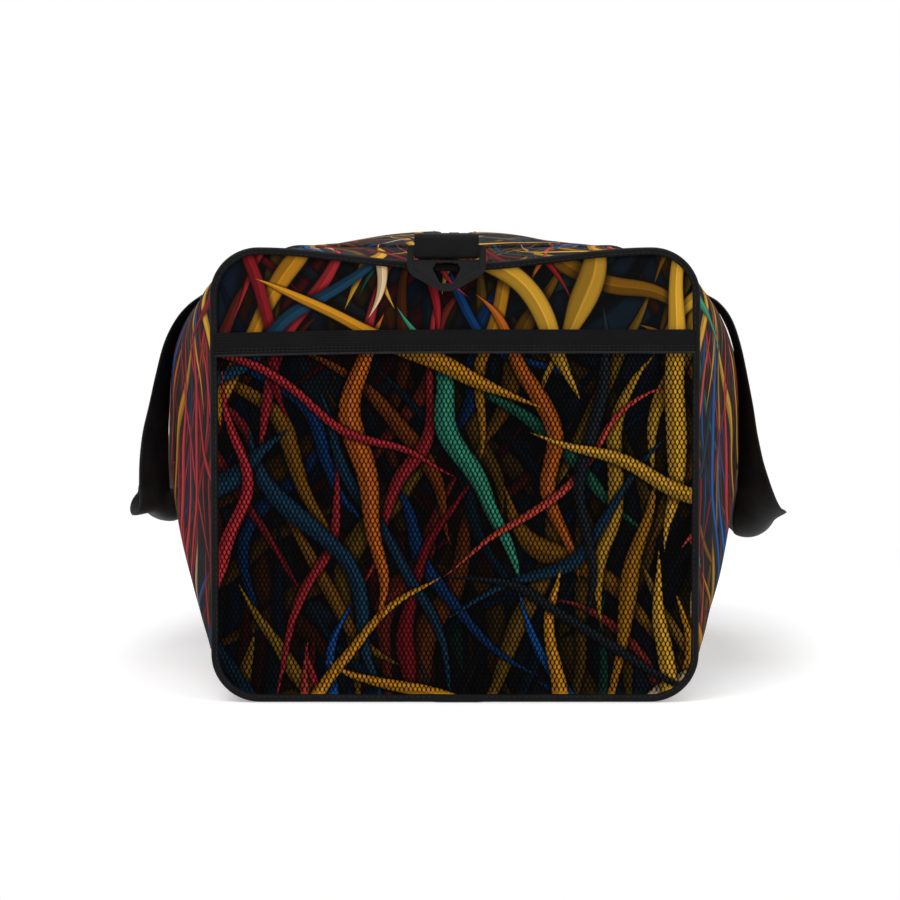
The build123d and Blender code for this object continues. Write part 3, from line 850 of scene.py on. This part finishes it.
def make_flaps():
    """Cloth on both sides of the zipper, in two halves that meet at mid-length. Its edge beside the zipper
    is folded under and stitched."""
    for side, sign in SIDES:
        for end, y_sign in ENDS:
            ys = y_sign * np.linspace(0, MOUTH_HALF, 64)
            points, uv = skin_grid(
                ys, lambda s: s.top_to(TAPE_EDGE), lambda s: s.top_to(MOUTH_SEAM), 46, top=True
            )
            points[..., 0] *= sign
            v_in = np.abs(uv[..., 1] - uv[:, :1, 1])
            v_out = np.abs(uv[:, -1:, 1] - uv[..., 1])
            near = np.minimum(v_out, MOUTH_HALF - np.abs(points[..., 1]))
            stitched = 0.35 * MM * hump(v_in - 3.2 * MM, 0.9 * MM)
            fold = 0.7 * MM * (1 - hump(v_in, 1.2 * MM)) - stitched
            points = soften(points, near, 51.0 + sign, lift=fold)
            uv[..., 1] *= sign
            piece = thicken(grid_piece(f"mouth_cloth_{side}_{end}", points, uv), 1.3 * MM)
            dress(piece, top_print, "printed_cloth", None, f"mouth_flap_{side}")
            bend(piece, y_sign)
            column = [i for i in range(v_in.shape[1]) if v_in[0, i] > 2.4 * MM][0]
            line = points[:, column] + (0, 0, 0.1 * MM)
            seam = thread_piece(f"mouth_stitches_{side}_{end}", [(line, (0, 0, 1.0))], None)
            bend(seam, y_sign)


# ------------------------------------------------------------------------------ end panels
def panel_bulge(x, z):
    """How far an end panel's cloth stands out beyond its seam."""
    a, b = np.abs(x) / (END_WIDTH / 2), np.abs(z - END_HEIGHT / 2) / (END_HEIGHT / 2)
    full = np.clip(1 - a**3, 0, 1) * np.clip(1 - b**3, 0, 1)
    lumps = wave(np.stack([x, np.zeros_like(x), z], -1), 55 * MM, 61.0)
    return (1.6 + 0.9 * lumps) * MM * full


def end_face(inset, columns, rows):
    """Grid of points (x, z) inside an end's outline."""
    skin = Skin(0, inset, end=True)
    half = skin.line[skin.widest, 0] - 0.2 * MM
    xs = half * np.sin(np.linspace(-math.pi / 2, math.pi / 2, columns))
    points = []
    for x in xs:
        bottom = skin.from_base(skin.base_to(abs(x)))[1]
        top = skin.from_top(skin.top_to(abs(x)))[1]
        points.append(np.stack([np.full(rows, x), np.linspace(bottom, top, rows)], 1))
    return np.array(points).transpose(1, 0, 2)


def ends():
    """For each end: its name, its sign along Y and a function that places points by their x,
    their height off the panel's seam and their z."""
    for end, sign in ENDS:

        def place(x, out, z, sign=sign):
            x, out, z = np.broadcast_arrays(x, out, z)
            return np.stack([x, sign * (PANEL_FACE + out), z], -1)

        yield end, sign, place


def make_end_panels():
    for end, _, place in ends():
        flat = end_face(BINDING_WIDTH - 2 * MM, 90, 80)
        x, z = flat[..., 0], flat[..., 1]
        points = place(x, panel_bulge(x, z) - 0.4 * MM, z)
        # Painted light: the print under the pocket net is drawn 1.5 times brighter, to make up for the
        # shade the net casts on it
        painted_light_under_net = np.clip((POCKET_TOP + 6 * MM - z) / (4 * MM), 0, 1)
        piece = grid_piece(f"end_cloth_{end}", points, flat, painted_light_gain=1 + 0.5 * painted_light_under_net)
        dress(piece, end_prints[end], "printed_cloth", "bag_body", f"end_panel_{end}")


def make_net():
    """Knitted net of tall six-sided holes, stretched over each end panel."""
    pitch_x, pitch_z = 2.65 * MM, 2.75 * MM
    tall, wide = 1.95 * MM, pitch_x / 2
    shoulder = pitch_z - tall
    corner = np.array(
        [(0, tall), (wide, shoulder), (wide, -shoulder), (0, -tall), (-wide, -shoulder), (-wide, shoulder)]
    )
    skin = Skin(0, BINDING_WIDTH - 1.6 * MM, end=True)
    edge_x = skin.line[skin.widest, 0]
    top = POCKET_TOP + 3 * MM
    centres = []
    for row in range(int(top / pitch_z)):
        z = row * pitch_z + 2 * MM
        shift = pitch_x / 2 * (row % 2)
        for x in np.arange(-edge_x, edge_x, pitch_x) + shift:
            low = skin.from_base(skin.base_to(min(abs(x) + wide, edge_x)))[1]
            if abs(x) + wide < edge_x and low < z - tall and z + tall < top:
                centres.append((x, z))
    centres = np.array(centres)
    outer = centres[:, None] + corner[None]
    jitter = np.stack([flat_wave(centres, 2.2 * MM, seed) for seed in (3.0, 8.0)], 1)
    hole = corner * (0.63, 0.83)
    inner = centres[:, None] + hole[None] + jitter[:, None] * 0.10 * MM
    flat = np.concatenate([outer, inner], 1).reshape(-1, 2)
    k = np.arange(len(centres))[:, None, None] * 12
    i = np.arange(6)
    j = (i + 1) % 6
    quad = np.stack([i, j, j + 6, i + 6], 1)
    faces = (k + quad[None]).reshape(-1, 4)
    key = np.round(flat / (0.02 * MM)).astype(np.int64)
    _, first, same = np.unique(key, axis=0, return_index=True, return_inverse=True)
    flat, faces = flat[first], same.reshape(-1)[faces]
    x, z = flat[:, 0], flat[:, 1]
    slack = 0.9 * MM + 0.7 * MM * np.clip(1 - (np.abs(x) / edge_x) ** 4, 0, 1)
    on_cell = np.zeros(len(flat))
    lattice = np.isin(np.arange(len(flat)), faces[:, :2])
    on_cell[lattice] = 0.22 * MM
    for end, _, place in ends():
        points = place(x, panel_bulge(x, z) + slack + on_cell, z)
        piece = new_piece(f"pocket_net_{end}", points, faces, flat, inside=BAG_MIDDLE)
        dress(piece, net, "mesh", "bag_body", f"pocket_mesh_{end}")


def elastic_low(x):
    """Height of the elastic's lower edge: it sags a little towards its left end."""
    return POCKET_TOP + 1.2 * MM - 2.4 * MM * np.clip(-x / (END_WIDTH / 2), 0, 1) ** 2


def make_elastic():
    """Ribbed elastic along the top of each pocket, with the net's seam rolled below it."""
    ribs, rows, columns = 8, 66, 150
    seams = (0.13, 0.27)  # shares of its width at which it is stitched down
    half = Skin(0, BINDING_WIDTH - 1.4 * MM, end=True).line[:, 0].max()
    for end, sign, place in ends():
        x = np.linspace(-half, half, columns)[None]
        share = np.linspace(0, 1, rows)[:, None]
        low = elastic_low(-x * sign)
        z = low + share * ELASTIC_WIDTH
        rib = 0.24 * MM * np.abs(np.sin(share * ribs * math.pi)) ** 0.7
        seam = -0.25 * MM * sum(hump(share - at, 0.03) for at in seams)
        low_edge, high_edge = (np.clip(v / 0.03, 0, 1) for v in (0.03 - share, share - 0.97))
        edge = -1.1 * MM * (low_edge**2 + high_edge**2)
        ripple = 0.18 * MM * wave(np.stack(np.broadcast_arrays(x, 0 * x, z), -1), 9 * MM, 81.0)
        x, z = np.broadcast_arrays(x, z)
        points = place(x, panel_bulge(x, z) + 2.6 * MM + rib + seam + edge + ripple, z)
        piece = grid_piece(f"pocket_elastic_{end}_band", points, np.stack([x, z], -1))
        dress(thicken(piece, 1.3 * MM), elastic, "elastic", "bag_body", f"pocket_elastic_{end}")
        outwards = np.array((0, sign, 0.0))
        lines = [(points[int(at * (rows - 1))] + outwards * 0.12 * MM, outwards) for at in seams]
        thread_piece(f"pocket_stitches_{end}", lines, "bag_body", pitch=2.6 * MM, length=2.0 * MM)
        turn = np.linspace(0, 2 * math.pi, 12, endpoint=False)
        centre_z = elastic_low(-x[0] * sign) - 0.5 * MM
        out = panel_bulge(x[0], centre_z) + 2.0 * MM
        around = [(0.75 * MM * math.cos(a), 0.85 * MM * math.sin(a)) for a in turn]
        ring = np.array([place(x[0], out + dy, centre_z + dz) for dy, dz in around])
        ring = ring.transpose(1, 0, 2)
        uv = np.stack(np.broadcast_arrays(x[0][:, None], turn[None] * 0.8 * MM), -1)
        roll = new_piece(f"pocket_roll_{end}", ring, grid_faces(columns, 12, ring=True), uv)
        dress(roll, thread, "mesh", "bag_body")


def end_loop(inset, count):
    """Closed line of points (x, z) round an end, evenly spaced, from the base's middle."""
    skin = Skin(0, inset, end=True)
    right = skin.line
    left = right[::-1] * (-1, 1)
    loop = resampled(np.vstack([right, left[1:]]), count + 1)[:-1]
    ahead, behind = np.roll(loop, -1, 0), np.roll(loop, 1, 0)
    way = unit(ahead - behind)
    return loop, np.stack([way[:, 1], -way[:, 0]], 1)


def make_binding():
    """Twill tape folded round each end seam: raised, uneven by a thread or two, stitched down
    along its inner edge, with its two ends lapped at the bottom."""
    count = 520
    loop, out = end_loop(0, count)
    run = lengths_along(loop)
    profile = rounded(
        [(0.3, 3.6), (0.0, 1.0), (2.2, -0.05), (4.5, 0.8), (4.2, 4.3), (2.2, 4.7)],
        [0.7, 1.2, 1.2, 0.7],
    )
    profile = resampled(profile, 26) * MM
    middle = np.abs(loop[:, 0]) < 26 * MM
    at_bottom = middle & (loop[:, 1] < END_HEIGHT / 2)
    lap = np.where(at_bottom, np.clip((15 * MM - np.abs(loop[:, 0] - 2 * MM)) / (1.6 * MM), 0, 1), 0)
    lap = lap * lap * (3 - 2 * lap)
    for end, sign, place in ends():
        seed = 91.0 + sign
        uneven = flat_wave(loop, 24 * MM, seed) * 0.35 * MM
        ripple = flat_wave(loop, 5 * MM, seed + 4) * 0.16 * MM
        rows = []
        for depth, inset in profile:
            share = np.clip(inset / BINDING_WIDTH, 0, 1)
            x = loop[:, 0] - out[:, 0] * (inset + uneven * share)
            z = loop[:, 1] - out[:, 1] * (inset + uneven * share)
            rise = (ripple + lap * 0.9 * MM) * (depth > 1 * MM)
            drop = np.minimum(lap * 0.9 * MM, np.maximum(z - 0.1 * MM, 0)) * (1 - share)
            z = z - np.where(lap > 0, drop, 0)
            rows.append(place(x, depth - (PANEL_FACE - BODY_HALF) + rise, np.maximum(z, 0.05 * MM)))
        points = np.array(rows).transpose(1, 0, 2)
        width = len(profile)
        faces = []
        for r in range(count):
            here, after = r * width, (r + 1) % count * width
            faces += [[here + c, here + c + 1, after + c + 1, after + c] for c in range(width - 1)]
        across = lengths_along(profile)
        uv = np.stack(np.broadcast_arrays(run[:, None], across[None]), -1)
        piece = new_piece(f"binding_tape_{end}", points, faces, uv, inside=BAG_MIDDLE)
        dress(piece, binding, "binding_tape", "bag_body", f"end_binding_{end}")
        inset = BINDING_WIDTH - 1.2 * MM
        x, z = (loop - out * inset).T
        line = place(x, BINDING_FACE - PANEL_FACE + 0.25 * MM, z)
        line = np.vstack([line, line[:1]])
        lines = [(line, (0, sign, 0.0))]
        sizes = {"pitch": 3.4 * MM, "length": 2.6 * MM, "radius": 0.2 * MM}
        thread_piece(f"binding_stitches_{end}", lines, "bag_body", **sizes)


make_sides()
make_base()
make_end_strips()
make_flaps()
make_end_panels()
make_net()
make_elastic()
make_binding()


# -------------------------------------------------------------------------------- zipper
def joint_place(name):
    joints = frame["record"]["behaviour"]["joints"]
    return Vector(next(j["pos_m"] for j in joints if j["name"] == name))


def top_line(x, ys, lift):
    """Points of a line along the top, at x and that far off the cloth."""
    places = [(y, *Skin(y).from_top(x)) for y in ys]
    return np.array([(px, y, pz + lift) for y, px, pz in places], float)


def make_tooth():
    """Points and faces of one coil loop: along +X from the tape to its thicker head."""
    sides = 8
    rings = [  # x, z and radius in millimetres
        (3.4, -0.35, 0.30),
        (3.0, 0.0, 0.46),
        (1.8, 0.28, 0.48),
        (0.6, 0.30, 0.50),
        (-0.35, 0.22, 0.62),
        (-0.75, 0.1, 0.40),
    ]
    turn = np.arange(sides) * 2 * math.pi / sides
    points = [(x, r * math.cos(a), z + r * math.sin(a)) for x, z, r in rings for a in turn]
    return np.array(points) * MM, tube_faces(len(rings), sides)


def make_zipper():
    """Both tapes with their rows of coil loops, each in two halves."""
    tooth, tooth_faces = make_tooth()
    near_stop, slider = MOUTH_HALF - 4.5 * MM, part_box("zipper_slider")[0].y + 1 * MM
    for side, sign in SIDES:
        for (end, y_sign), last in zip(ENDS, (near_stop, slider)):
            ys = y_sign * np.linspace(0, MOUTH_HALF - 0.5 * MM, 80)
            hem = TAPE_EDGE + 3 * MM
            points, uv = skin_grid(
                ys, lambda s: s.top_to(0.5 * MM), lambda s: s.top_to(hem), 10, top=True
            )
            points[..., 0] *= sign
            points[..., 2] -= TAPE_DEEP
            piece = grid_piece(f"zip_tape_{side}_{end}", points, uv)
            dress(thicken(piece, 0.6 * MM), tape, "zipper_tape", None, f"zipper_tape_{side}")
            bend(piece, y_sign)

            offset = 0.5 * TOOTH_PITCH if sign > 0 else 0
            centres = np.arange(0.25, last / TOOTH_PITCH) * TOOTH_PITCH + offset
            line = top_line(0.0, y_sign * centres, -TAPE_DEEP / 2)
            points = (line[:, None] + (tooth * (sign, 1, 1))[None]).reshape(-1, 3)
            faces = repeated(tooth_faces, len(tooth), len(line))
            coil = new_piece(f"zip_coil_{side}_{end}", points, faces, points[:, :2])
            dress(coil, nylon, "zipper_coil", None, f"zipper_coil_{side}")
            bend(coil, y_sign)
    for node, width, body in (
        ("zipper_slider", 0.35 * MM, "slider"),
        ("zipper_puller", 0.35 * MM, "puller"),
        ("zipper_stop_near", 0.3 * MM, "bag_body"),
        ("zipper_stop_far", 0.3 * MM, "bag_body"),
    ):
        piece = bevelled_copy(node, width, body)
        dress(piece, coated_metal, "zipper_metal")


# -------------------------------------------------------------------- strap ring and its tab
def make_rings():
    for end, _ in ENDS:
        piece = bevelled_copy(f"strap_ring_{end}", 0.45 * MM, f"ring_{end}")
        dress(piece, acetal, "ring_plastic")


def make_tabs():
    """Webbing doubled round each ring's bar, sewn down with a crossed box behind the mouth."""
    low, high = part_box("ring_tab_near")
    ring_low, ring_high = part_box("strap_ring_near")
    middle_x = (low.x + high.x) / 2
    bar_y = (ring_low.y + ring_high.y) / 2
    bar_z = joint_place("strap_ring_near_swing").z
    t = WEBBING_THICK
    wrap = TAB_WRAP + t / 2
    rear, sewn = high.y, high.y - TAB_SEWN
    seat = [float(Skin(y).from_top(WEBBING / 2)[1]) + TAB_LIFT + t / 2 for y in (rear, sewn)]
    lower = bar_z + TAB_OVER_BAR + t / 2
    fold = high.z + TAB_SWELL
    points = [
        (rear + 0.6 * MM, seat[0] + t),
        (sewn, seat[1] + t + 0.1 * MM),
        (bar_y - wrap, fold),
        (bar_y - wrap, bar_z - wrap),
        (bar_y + wrap, bar_z - wrap),
        (bar_y + wrap, lower),
        (sewn, seat[1]),
        (rear, seat[0]),
    ]
    flat = resampled(rounded(points, TAB_RADII), 150)
    for end, way in ENDS:
        sign = -way  # the near tab's own points are turned round for the far one
        path = np.stack([np.full(len(flat), middle_x), flat[:, 0] * sign, flat[:, 1]], 1)
        piece = strap(f"tab_webbing_{end}", path, (1.0, 0, 0))
        dress(piece, webbing, "webbing", "bag_body", f"ring_tab_{end}")
        half = WEBBING / 2 - 3 * MM
        y0, y1 = rear - 2.5 * MM, sewn + 1.5 * MM

        def over(y):
            return np.interp(y, [sewn, rear], [seat[1] + t, seat[0] + t]) + t / 2 + 0.15 * MM

        def stitched(a, b):
            share = np.linspace(0, 1, 30)[:, None]
            line = np.array(a) * (1 - share) + np.array(b) * share
            z = over(line[:, 1])
            return np.stack([line[:, 0] + middle_x, line[:, 1] * sign, z], 1), (0, 0, 1.0)

        corners = [(-half, y0), (half, y0), (half, y1), (-half, y1)]
        lines = [stitched(a, b) for a, b in zip(corners, corners[1:] + corners[:1])]
        lines += [stitched(corners[0], corners[2]), stitched(corners[1], corners[3])]
        thread_piece(f"tab_stitches_{end}", lines, "bag_body", pitch=2.8 * MM, length=2.2 * MM)


# ------------------------------------------------------------------------------- handles
def run_line(y, sign, lift, count=60):
    """Path, width direction and outward normal of the webbing sewn down from the mouth seam."""
    end = joint_place("handle_right_lift").x

    def line(at):
        skin = Skin(at)
        lengths = np.linspace(skin.top_to(MOUTH_SEAM + 1 * MM), skin.top_to(end - 1 * MM), count)
        x, z = skin.from_top(lengths)
        return np.stack([x * sign, np.full(count, at), z], 1)

    middle, before, after = line(y), line(y - WEBBING / 2), line(y + WEBBING / 2)
    wide = unit(after - before)
    way = unit(np.gradient(middle, axis=0))
    out = unit(np.cross(way, wide))
    out *= np.sign(out[:, 2:])
    return middle + out * lift, wide, out


def make_handle_runs():
    """Sewn ends of the handles, each held by a crossed box of stitches."""
    inset = WEBBING / 2 - 3.5 * MM
    for end, way in ENDS:
        y = way * HANDLE_LEG
        for side, sign in SIDES:
            path, wide, out = run_line(y, sign, RUN_LIFT)
            piece = strap(f"handle_sewn_{end}_{side}", path, wide, thick=RUN_THICK)
            dress(piece, webbing, "webbing", "bag_body", f"handle_run_{end}_{side}")
            path, wide, out = run_line(y, sign, 2.35 * MM)
            run = lengths_along(path)
            low, high = (int(np.searchsorted(run, v * MM)) for v in (5, 44))
            lines = []
            share = np.linspace(-1, 1, high - low)[:, None]
            for k in (-1, 1):
                for across in (np.ones_like(share), share):
                    line = path[low:high] + wide[low:high] * inset * k * across
                    lines.append((line, out[low:high]))
            ends = np.linspace(-1, 1, 12)[:, None]
            for row in (low, high - 1):
                lines.append((path[row] + wide[row] * inset * ends, out[row]))
            thread_piece(f"handle_stitches_{end}_{side}", lines, "bag_body")


# A hanging handle's near half, from its hinge to the middle of its grip. Each row has its outer
# edge's distance from the bag's middle plane, its place along the bag as a share of the leg's
# and its height, the same for its inner edge, and the curl across its width in radians. Lengths
# are in millimetres. The left grip is turned up more steeply than the right one.
HANDLE_EDGES = {
    "left": [
        (162.3, 1.19, 240.4, 162.3, 0.81, 240.4, 0.00),
        (171.5, 1.19, 233.5, 168.0, 0.81, 232.5, 0.03),
        (179.5, 1.19, 224.0, 174.0, 0.80, 223.0, 0.05),
        (186.5, 1.18, 209.5, 181.0, 0.78, 208.5, 0.08),
        (192.0, 1.18, 190.5, 184.6, 0.75, 189.5, 0.10),
        (197.0, 1.17, 170.0, 185.4, 0.74, 168.5, 0.12),
        (201.5, 1.16, 152.0, 185.6, 0.74, 151.0, 0.14),
        (203.3, 1.15, 135.0, 185.6, 0.75, 134.0, 0.18),
        (202.8, 1.13, 120.0, 185.0, 0.77, 118.0, 0.25),
        (201.5, 1.09, 107.5, 184.4, 0.77, 103.5, 0.40),
        (204.5, 0.97, 103.5, 185.0, 0.71, 91.5, 0.70),
        (212.0, 0.76, 109.0, 189.5, 0.60, 84.5, 0.90),
        (218.5, 0.50, 114.0, 194.5, 0.48, 81.5, 1.05),
        (220.8, 0.25, 115.5, 197.0, 0.25, 80.2, 1.10),
        (221.0, 0.00, 115.7, 197.0, 0.00, 80.1, 1.10),
    ],
    "right": [
        (162.3, 1.19, 240.4, 162.3, 0.81, 240.4, 0.00),
        (170.0, 1.19, 235.5, 168.5, 0.81, 235.0, 0.00),
        (177.5, 1.19, 226.0, 175.5, 0.81, 225.0, 0.00),
        (183.0, 1.18, 211.0, 181.6, 0.80, 210.0, 0.02),
        (187.5, 1.17, 192.0, 184.9, 0.78, 190.7, 0.05),
        (191.8, 1.15, 170.0, 185.4, 0.77, 168.2, 0.08),
        (194.8, 1.13, 151.0, 185.6, 0.76, 149.2, 0.10),
        (198.6, 1.12, 133.0, 185.6, 0.76, 131.0, 0.14),
        (203.5, 1.09, 117.5, 185.4, 0.76, 114.5, 0.22),
        (208.5, 1.02, 105.5, 186.0, 0.72, 99.0, 0.42),
        (214.0, 0.84, 97.0, 188.5, 0.66, 83.0, 0.72),
        (218.5, 0.58, 91.5, 189.5, 0.54, 74.0, 0.95),
        (221.5, 0.29, 88.5, 189.4, 0.28, 71.0, 1.10),
        (222.0, 0.00, 88.0, 189.3, 0.00, 70.5, 1.10),
    ],
}


def make_handles():
    """Hanging loops of webbing: each leg stands off the side by its outer edge, and the grip
    is turned outwards and curled like a gutter."""
    for side, sign in SIDES:
        table = np.array(HANDLE_EDGES[side])
        table[:, [1, 4]] *= -HANDLE_LEG / MM
        far = table[::-1][1:] * (1, -1, 1, 1, -1, 1, 1)
        line = smooth_line(np.vstack([table, far]), 300)
        outer, inner = (line[:, k : k + 3] * (sign * MM, MM, MM) for k in (0, 3))
        path, wide = (outer + inner) / 2, unit(outer - inner)
        piece = strap(f"handle_webbing_painted_lighter_{side}", path, wide, curl=-line[:, 6] * sign)
        # Painted light: the hanging loops get the lighter copy of the webbing, while their sewn ends keep
        # the darker one
        dress(piece, handle_webbing_painted_lighter, "webbing", f"handle_{side}", f"handle_loop_{side}")


# ---------------------------------------------------------------------- lining and base board
def make_lining():
    """Inner cloth: a cup along the whole bag, open at the mouth, with an end wall at each end."""

    def rim(skin):
        return skin.total - skin.top_to(MOUTH_SEAM - 2 * MM)

    ys = np.linspace(-BODY_HALF + 1.2 * MM, BODY_HALF - 1.2 * MM, 90)
    points, uv = skin_grid(ys, lambda s: -rim(s), rim, 150, inset=LINING_INSET)
    normals = grid_normals(points, BAG_MIDDLE)
    creases = wave(points, 45 * MM, 101.0) * 1.2 * MM + wave(points, 14 * MM, 107.0) * 0.5 * MM
    points = points - normals * np.abs(creases)[..., None]
    points[..., 2] = np.maximum(points[..., 2], 2.6 * MM)
    dress(grid_piece("lining_wall", points, uv), lining, "lining", "bag_body", "lining")
    for end, sign in ENDS:
        y = sign * (BODY_HALF - 1.6 * MM)
        skin = Skin(y, LINING_INSET)
        half = skin.line[:, 0].max() - 0.1 * MM
        rows = []
        for x in np.linspace(-half, half, 60):
            bottom = skin.from_base(skin.base_to(abs(x)))[1]
            top = skin.from_top(skin.top_to(abs(x)))[1]
            z = np.linspace(bottom, top, 50)
            sag = wave(np.stack([np.full(50, x), z, 0 * z], 1), 50 * MM, 113.0) * 1.2 * MM
            rows.append(np.stack([np.full(50, x), y - sign * (0.6 * MM + np.abs(sag)), z], 1))
        rows = np.array(rows)
        dress(grid_piece(f"lining_end_{end}", rows, rows[..., ::2]), lining, "lining", "bag_body")
        ys = sign * np.linspace(MOUTH_HALF + 1 * MM, BODY_HALF - 1.6 * MM, 12)
        points, uv = mouth_width(ys, 40, inset=2.6 * MM)
        dress(grid_piece(f"lining_top_{end}", points, uv), lining, "lining", "bag_body")


def make_board():
    piece = bevelled_copy("base_board", 0.8 * MM, "bag_body")
    dress(piece, board, "base_board")


make_zipper()
make_rings()
make_tabs()
make_handle_runs()
make_handles()
make_lining()
make_board()


# ---------------------------------------------------------------------------- floor and light
def make_stage():
    """A pale floor that fades to white away from the bag, a white world and three soft lamps."""
    bpy.ops.mesh.primitive_plane_add(size=16, location=(0, 3, -0.2 * MM))
    floor = bpy.context.object
    floor.name = "studio_floor"
    material = bpy.data.materials.new("studio_floor")
    material.use_nodes = True
    tree = material.node_tree
    tree.nodes.clear()
    n = Nodes(tree)
    lit = n.add("ShaderNodeBsdfDiffuse", {"Color": (0.82, 0.82, 0.82, 1)}).outputs[0]
    seen = n.seen()

    def glow(strength):
        inputs = {"Color": (1, 1, 1, 1), "Strength": strength}
        return n.add("ShaderNodeEmission", inputs).outputs[0]

    near = n.add("ShaderNodeAddShader", {0: lit, 1: glow(n.math("MULTIPLY", seen, 0.34))})
    white = glow(n.step(seen, 0, 1, 0.6, 1.0))
    place = n.add("ShaderNodeNewGeometry").outputs["Position"]
    oval = n.vector("MULTIPLY", place, (1.0, 0.8, 0.0))
    away = n.add("ShaderNodeVectorMath", {0: oval}, operation="LENGTH").outputs["Value"]
    fade = n.step(away, 0.34, 0.62)
    surface = n.add("ShaderNodeMixShader", {0: fade, 1: near.outputs[0], 2: white}).outputs[0]
    n.feed(n.add("ShaderNodeOutputMaterial").inputs["Surface"], surface)
    floor.data.materials.append(material)
    floor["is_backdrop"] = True

    world = bpy.data.worlds.new("studio")
    scene.world = world
    world.use_nodes = True
    n = Nodes(world.node_tree)
    world.node_tree.nodes.clear()
    strength = n.step(n.seen(), 0.0, 1.0, 0.55, 1.0)
    back = n.add("ShaderNodeBackground", {"Color": (1, 1, 1, 1), "Strength": strength}).outputs[0]
    out = n.add("ShaderNodeOutputWorld")
    n.feed(out.inputs["Surface"], back)

    lamps = [
        ("key", (-1.1, -1.9, 2.1), (0, -0.1, 0.1), 1.6, 34),
        ("fill", (1.7, -1.5, 1.2), (0, -0.1, 0.12), 1.8, 16),
        ("top", (0, 0.3, 2.4), (0, 0, 0.1), 2.2, 26),
    ]
    for name, place, aim, size, power in lamps:
        light = bpy.data.lights.new(name, "AREA")
        light.size, light.energy = size, power
        lamp = bpy.data.objects.new(name, light)
        lamp.location = place
        lamp.rotation_euler = (Vector(aim) - Vector(place)).to_track_quat("-Z", "Y").to_euler()
        scene.collection.objects.link(lamp)


def make_camera():
    """A long lens level with the bag's top, two metres from its near end, turned slightly down."""
    camera = bpy.data.cameras.new("camera")
    camera.lens, camera.sensor_width = LENS, SENSOR
    camera.clip_start = 0.05
    holder = bpy.data.objects.new("camera", camera)
    holder.location = (-3 * MM, -PANEL_FACE - CAMERA_BACK, CAMERA_HEIGHT)
    holder.rotation_euler = (math.pi / 2 - CAMERA_TILT, 0, 0)
    scene.collection.objects.link(holder)
    scene.camera = holder


make_stage()
make_camera()
scene.view_settings.view_transform = "Standard"
[[list(map(float, corner)) for corner in box] for box in (cad_box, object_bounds())]
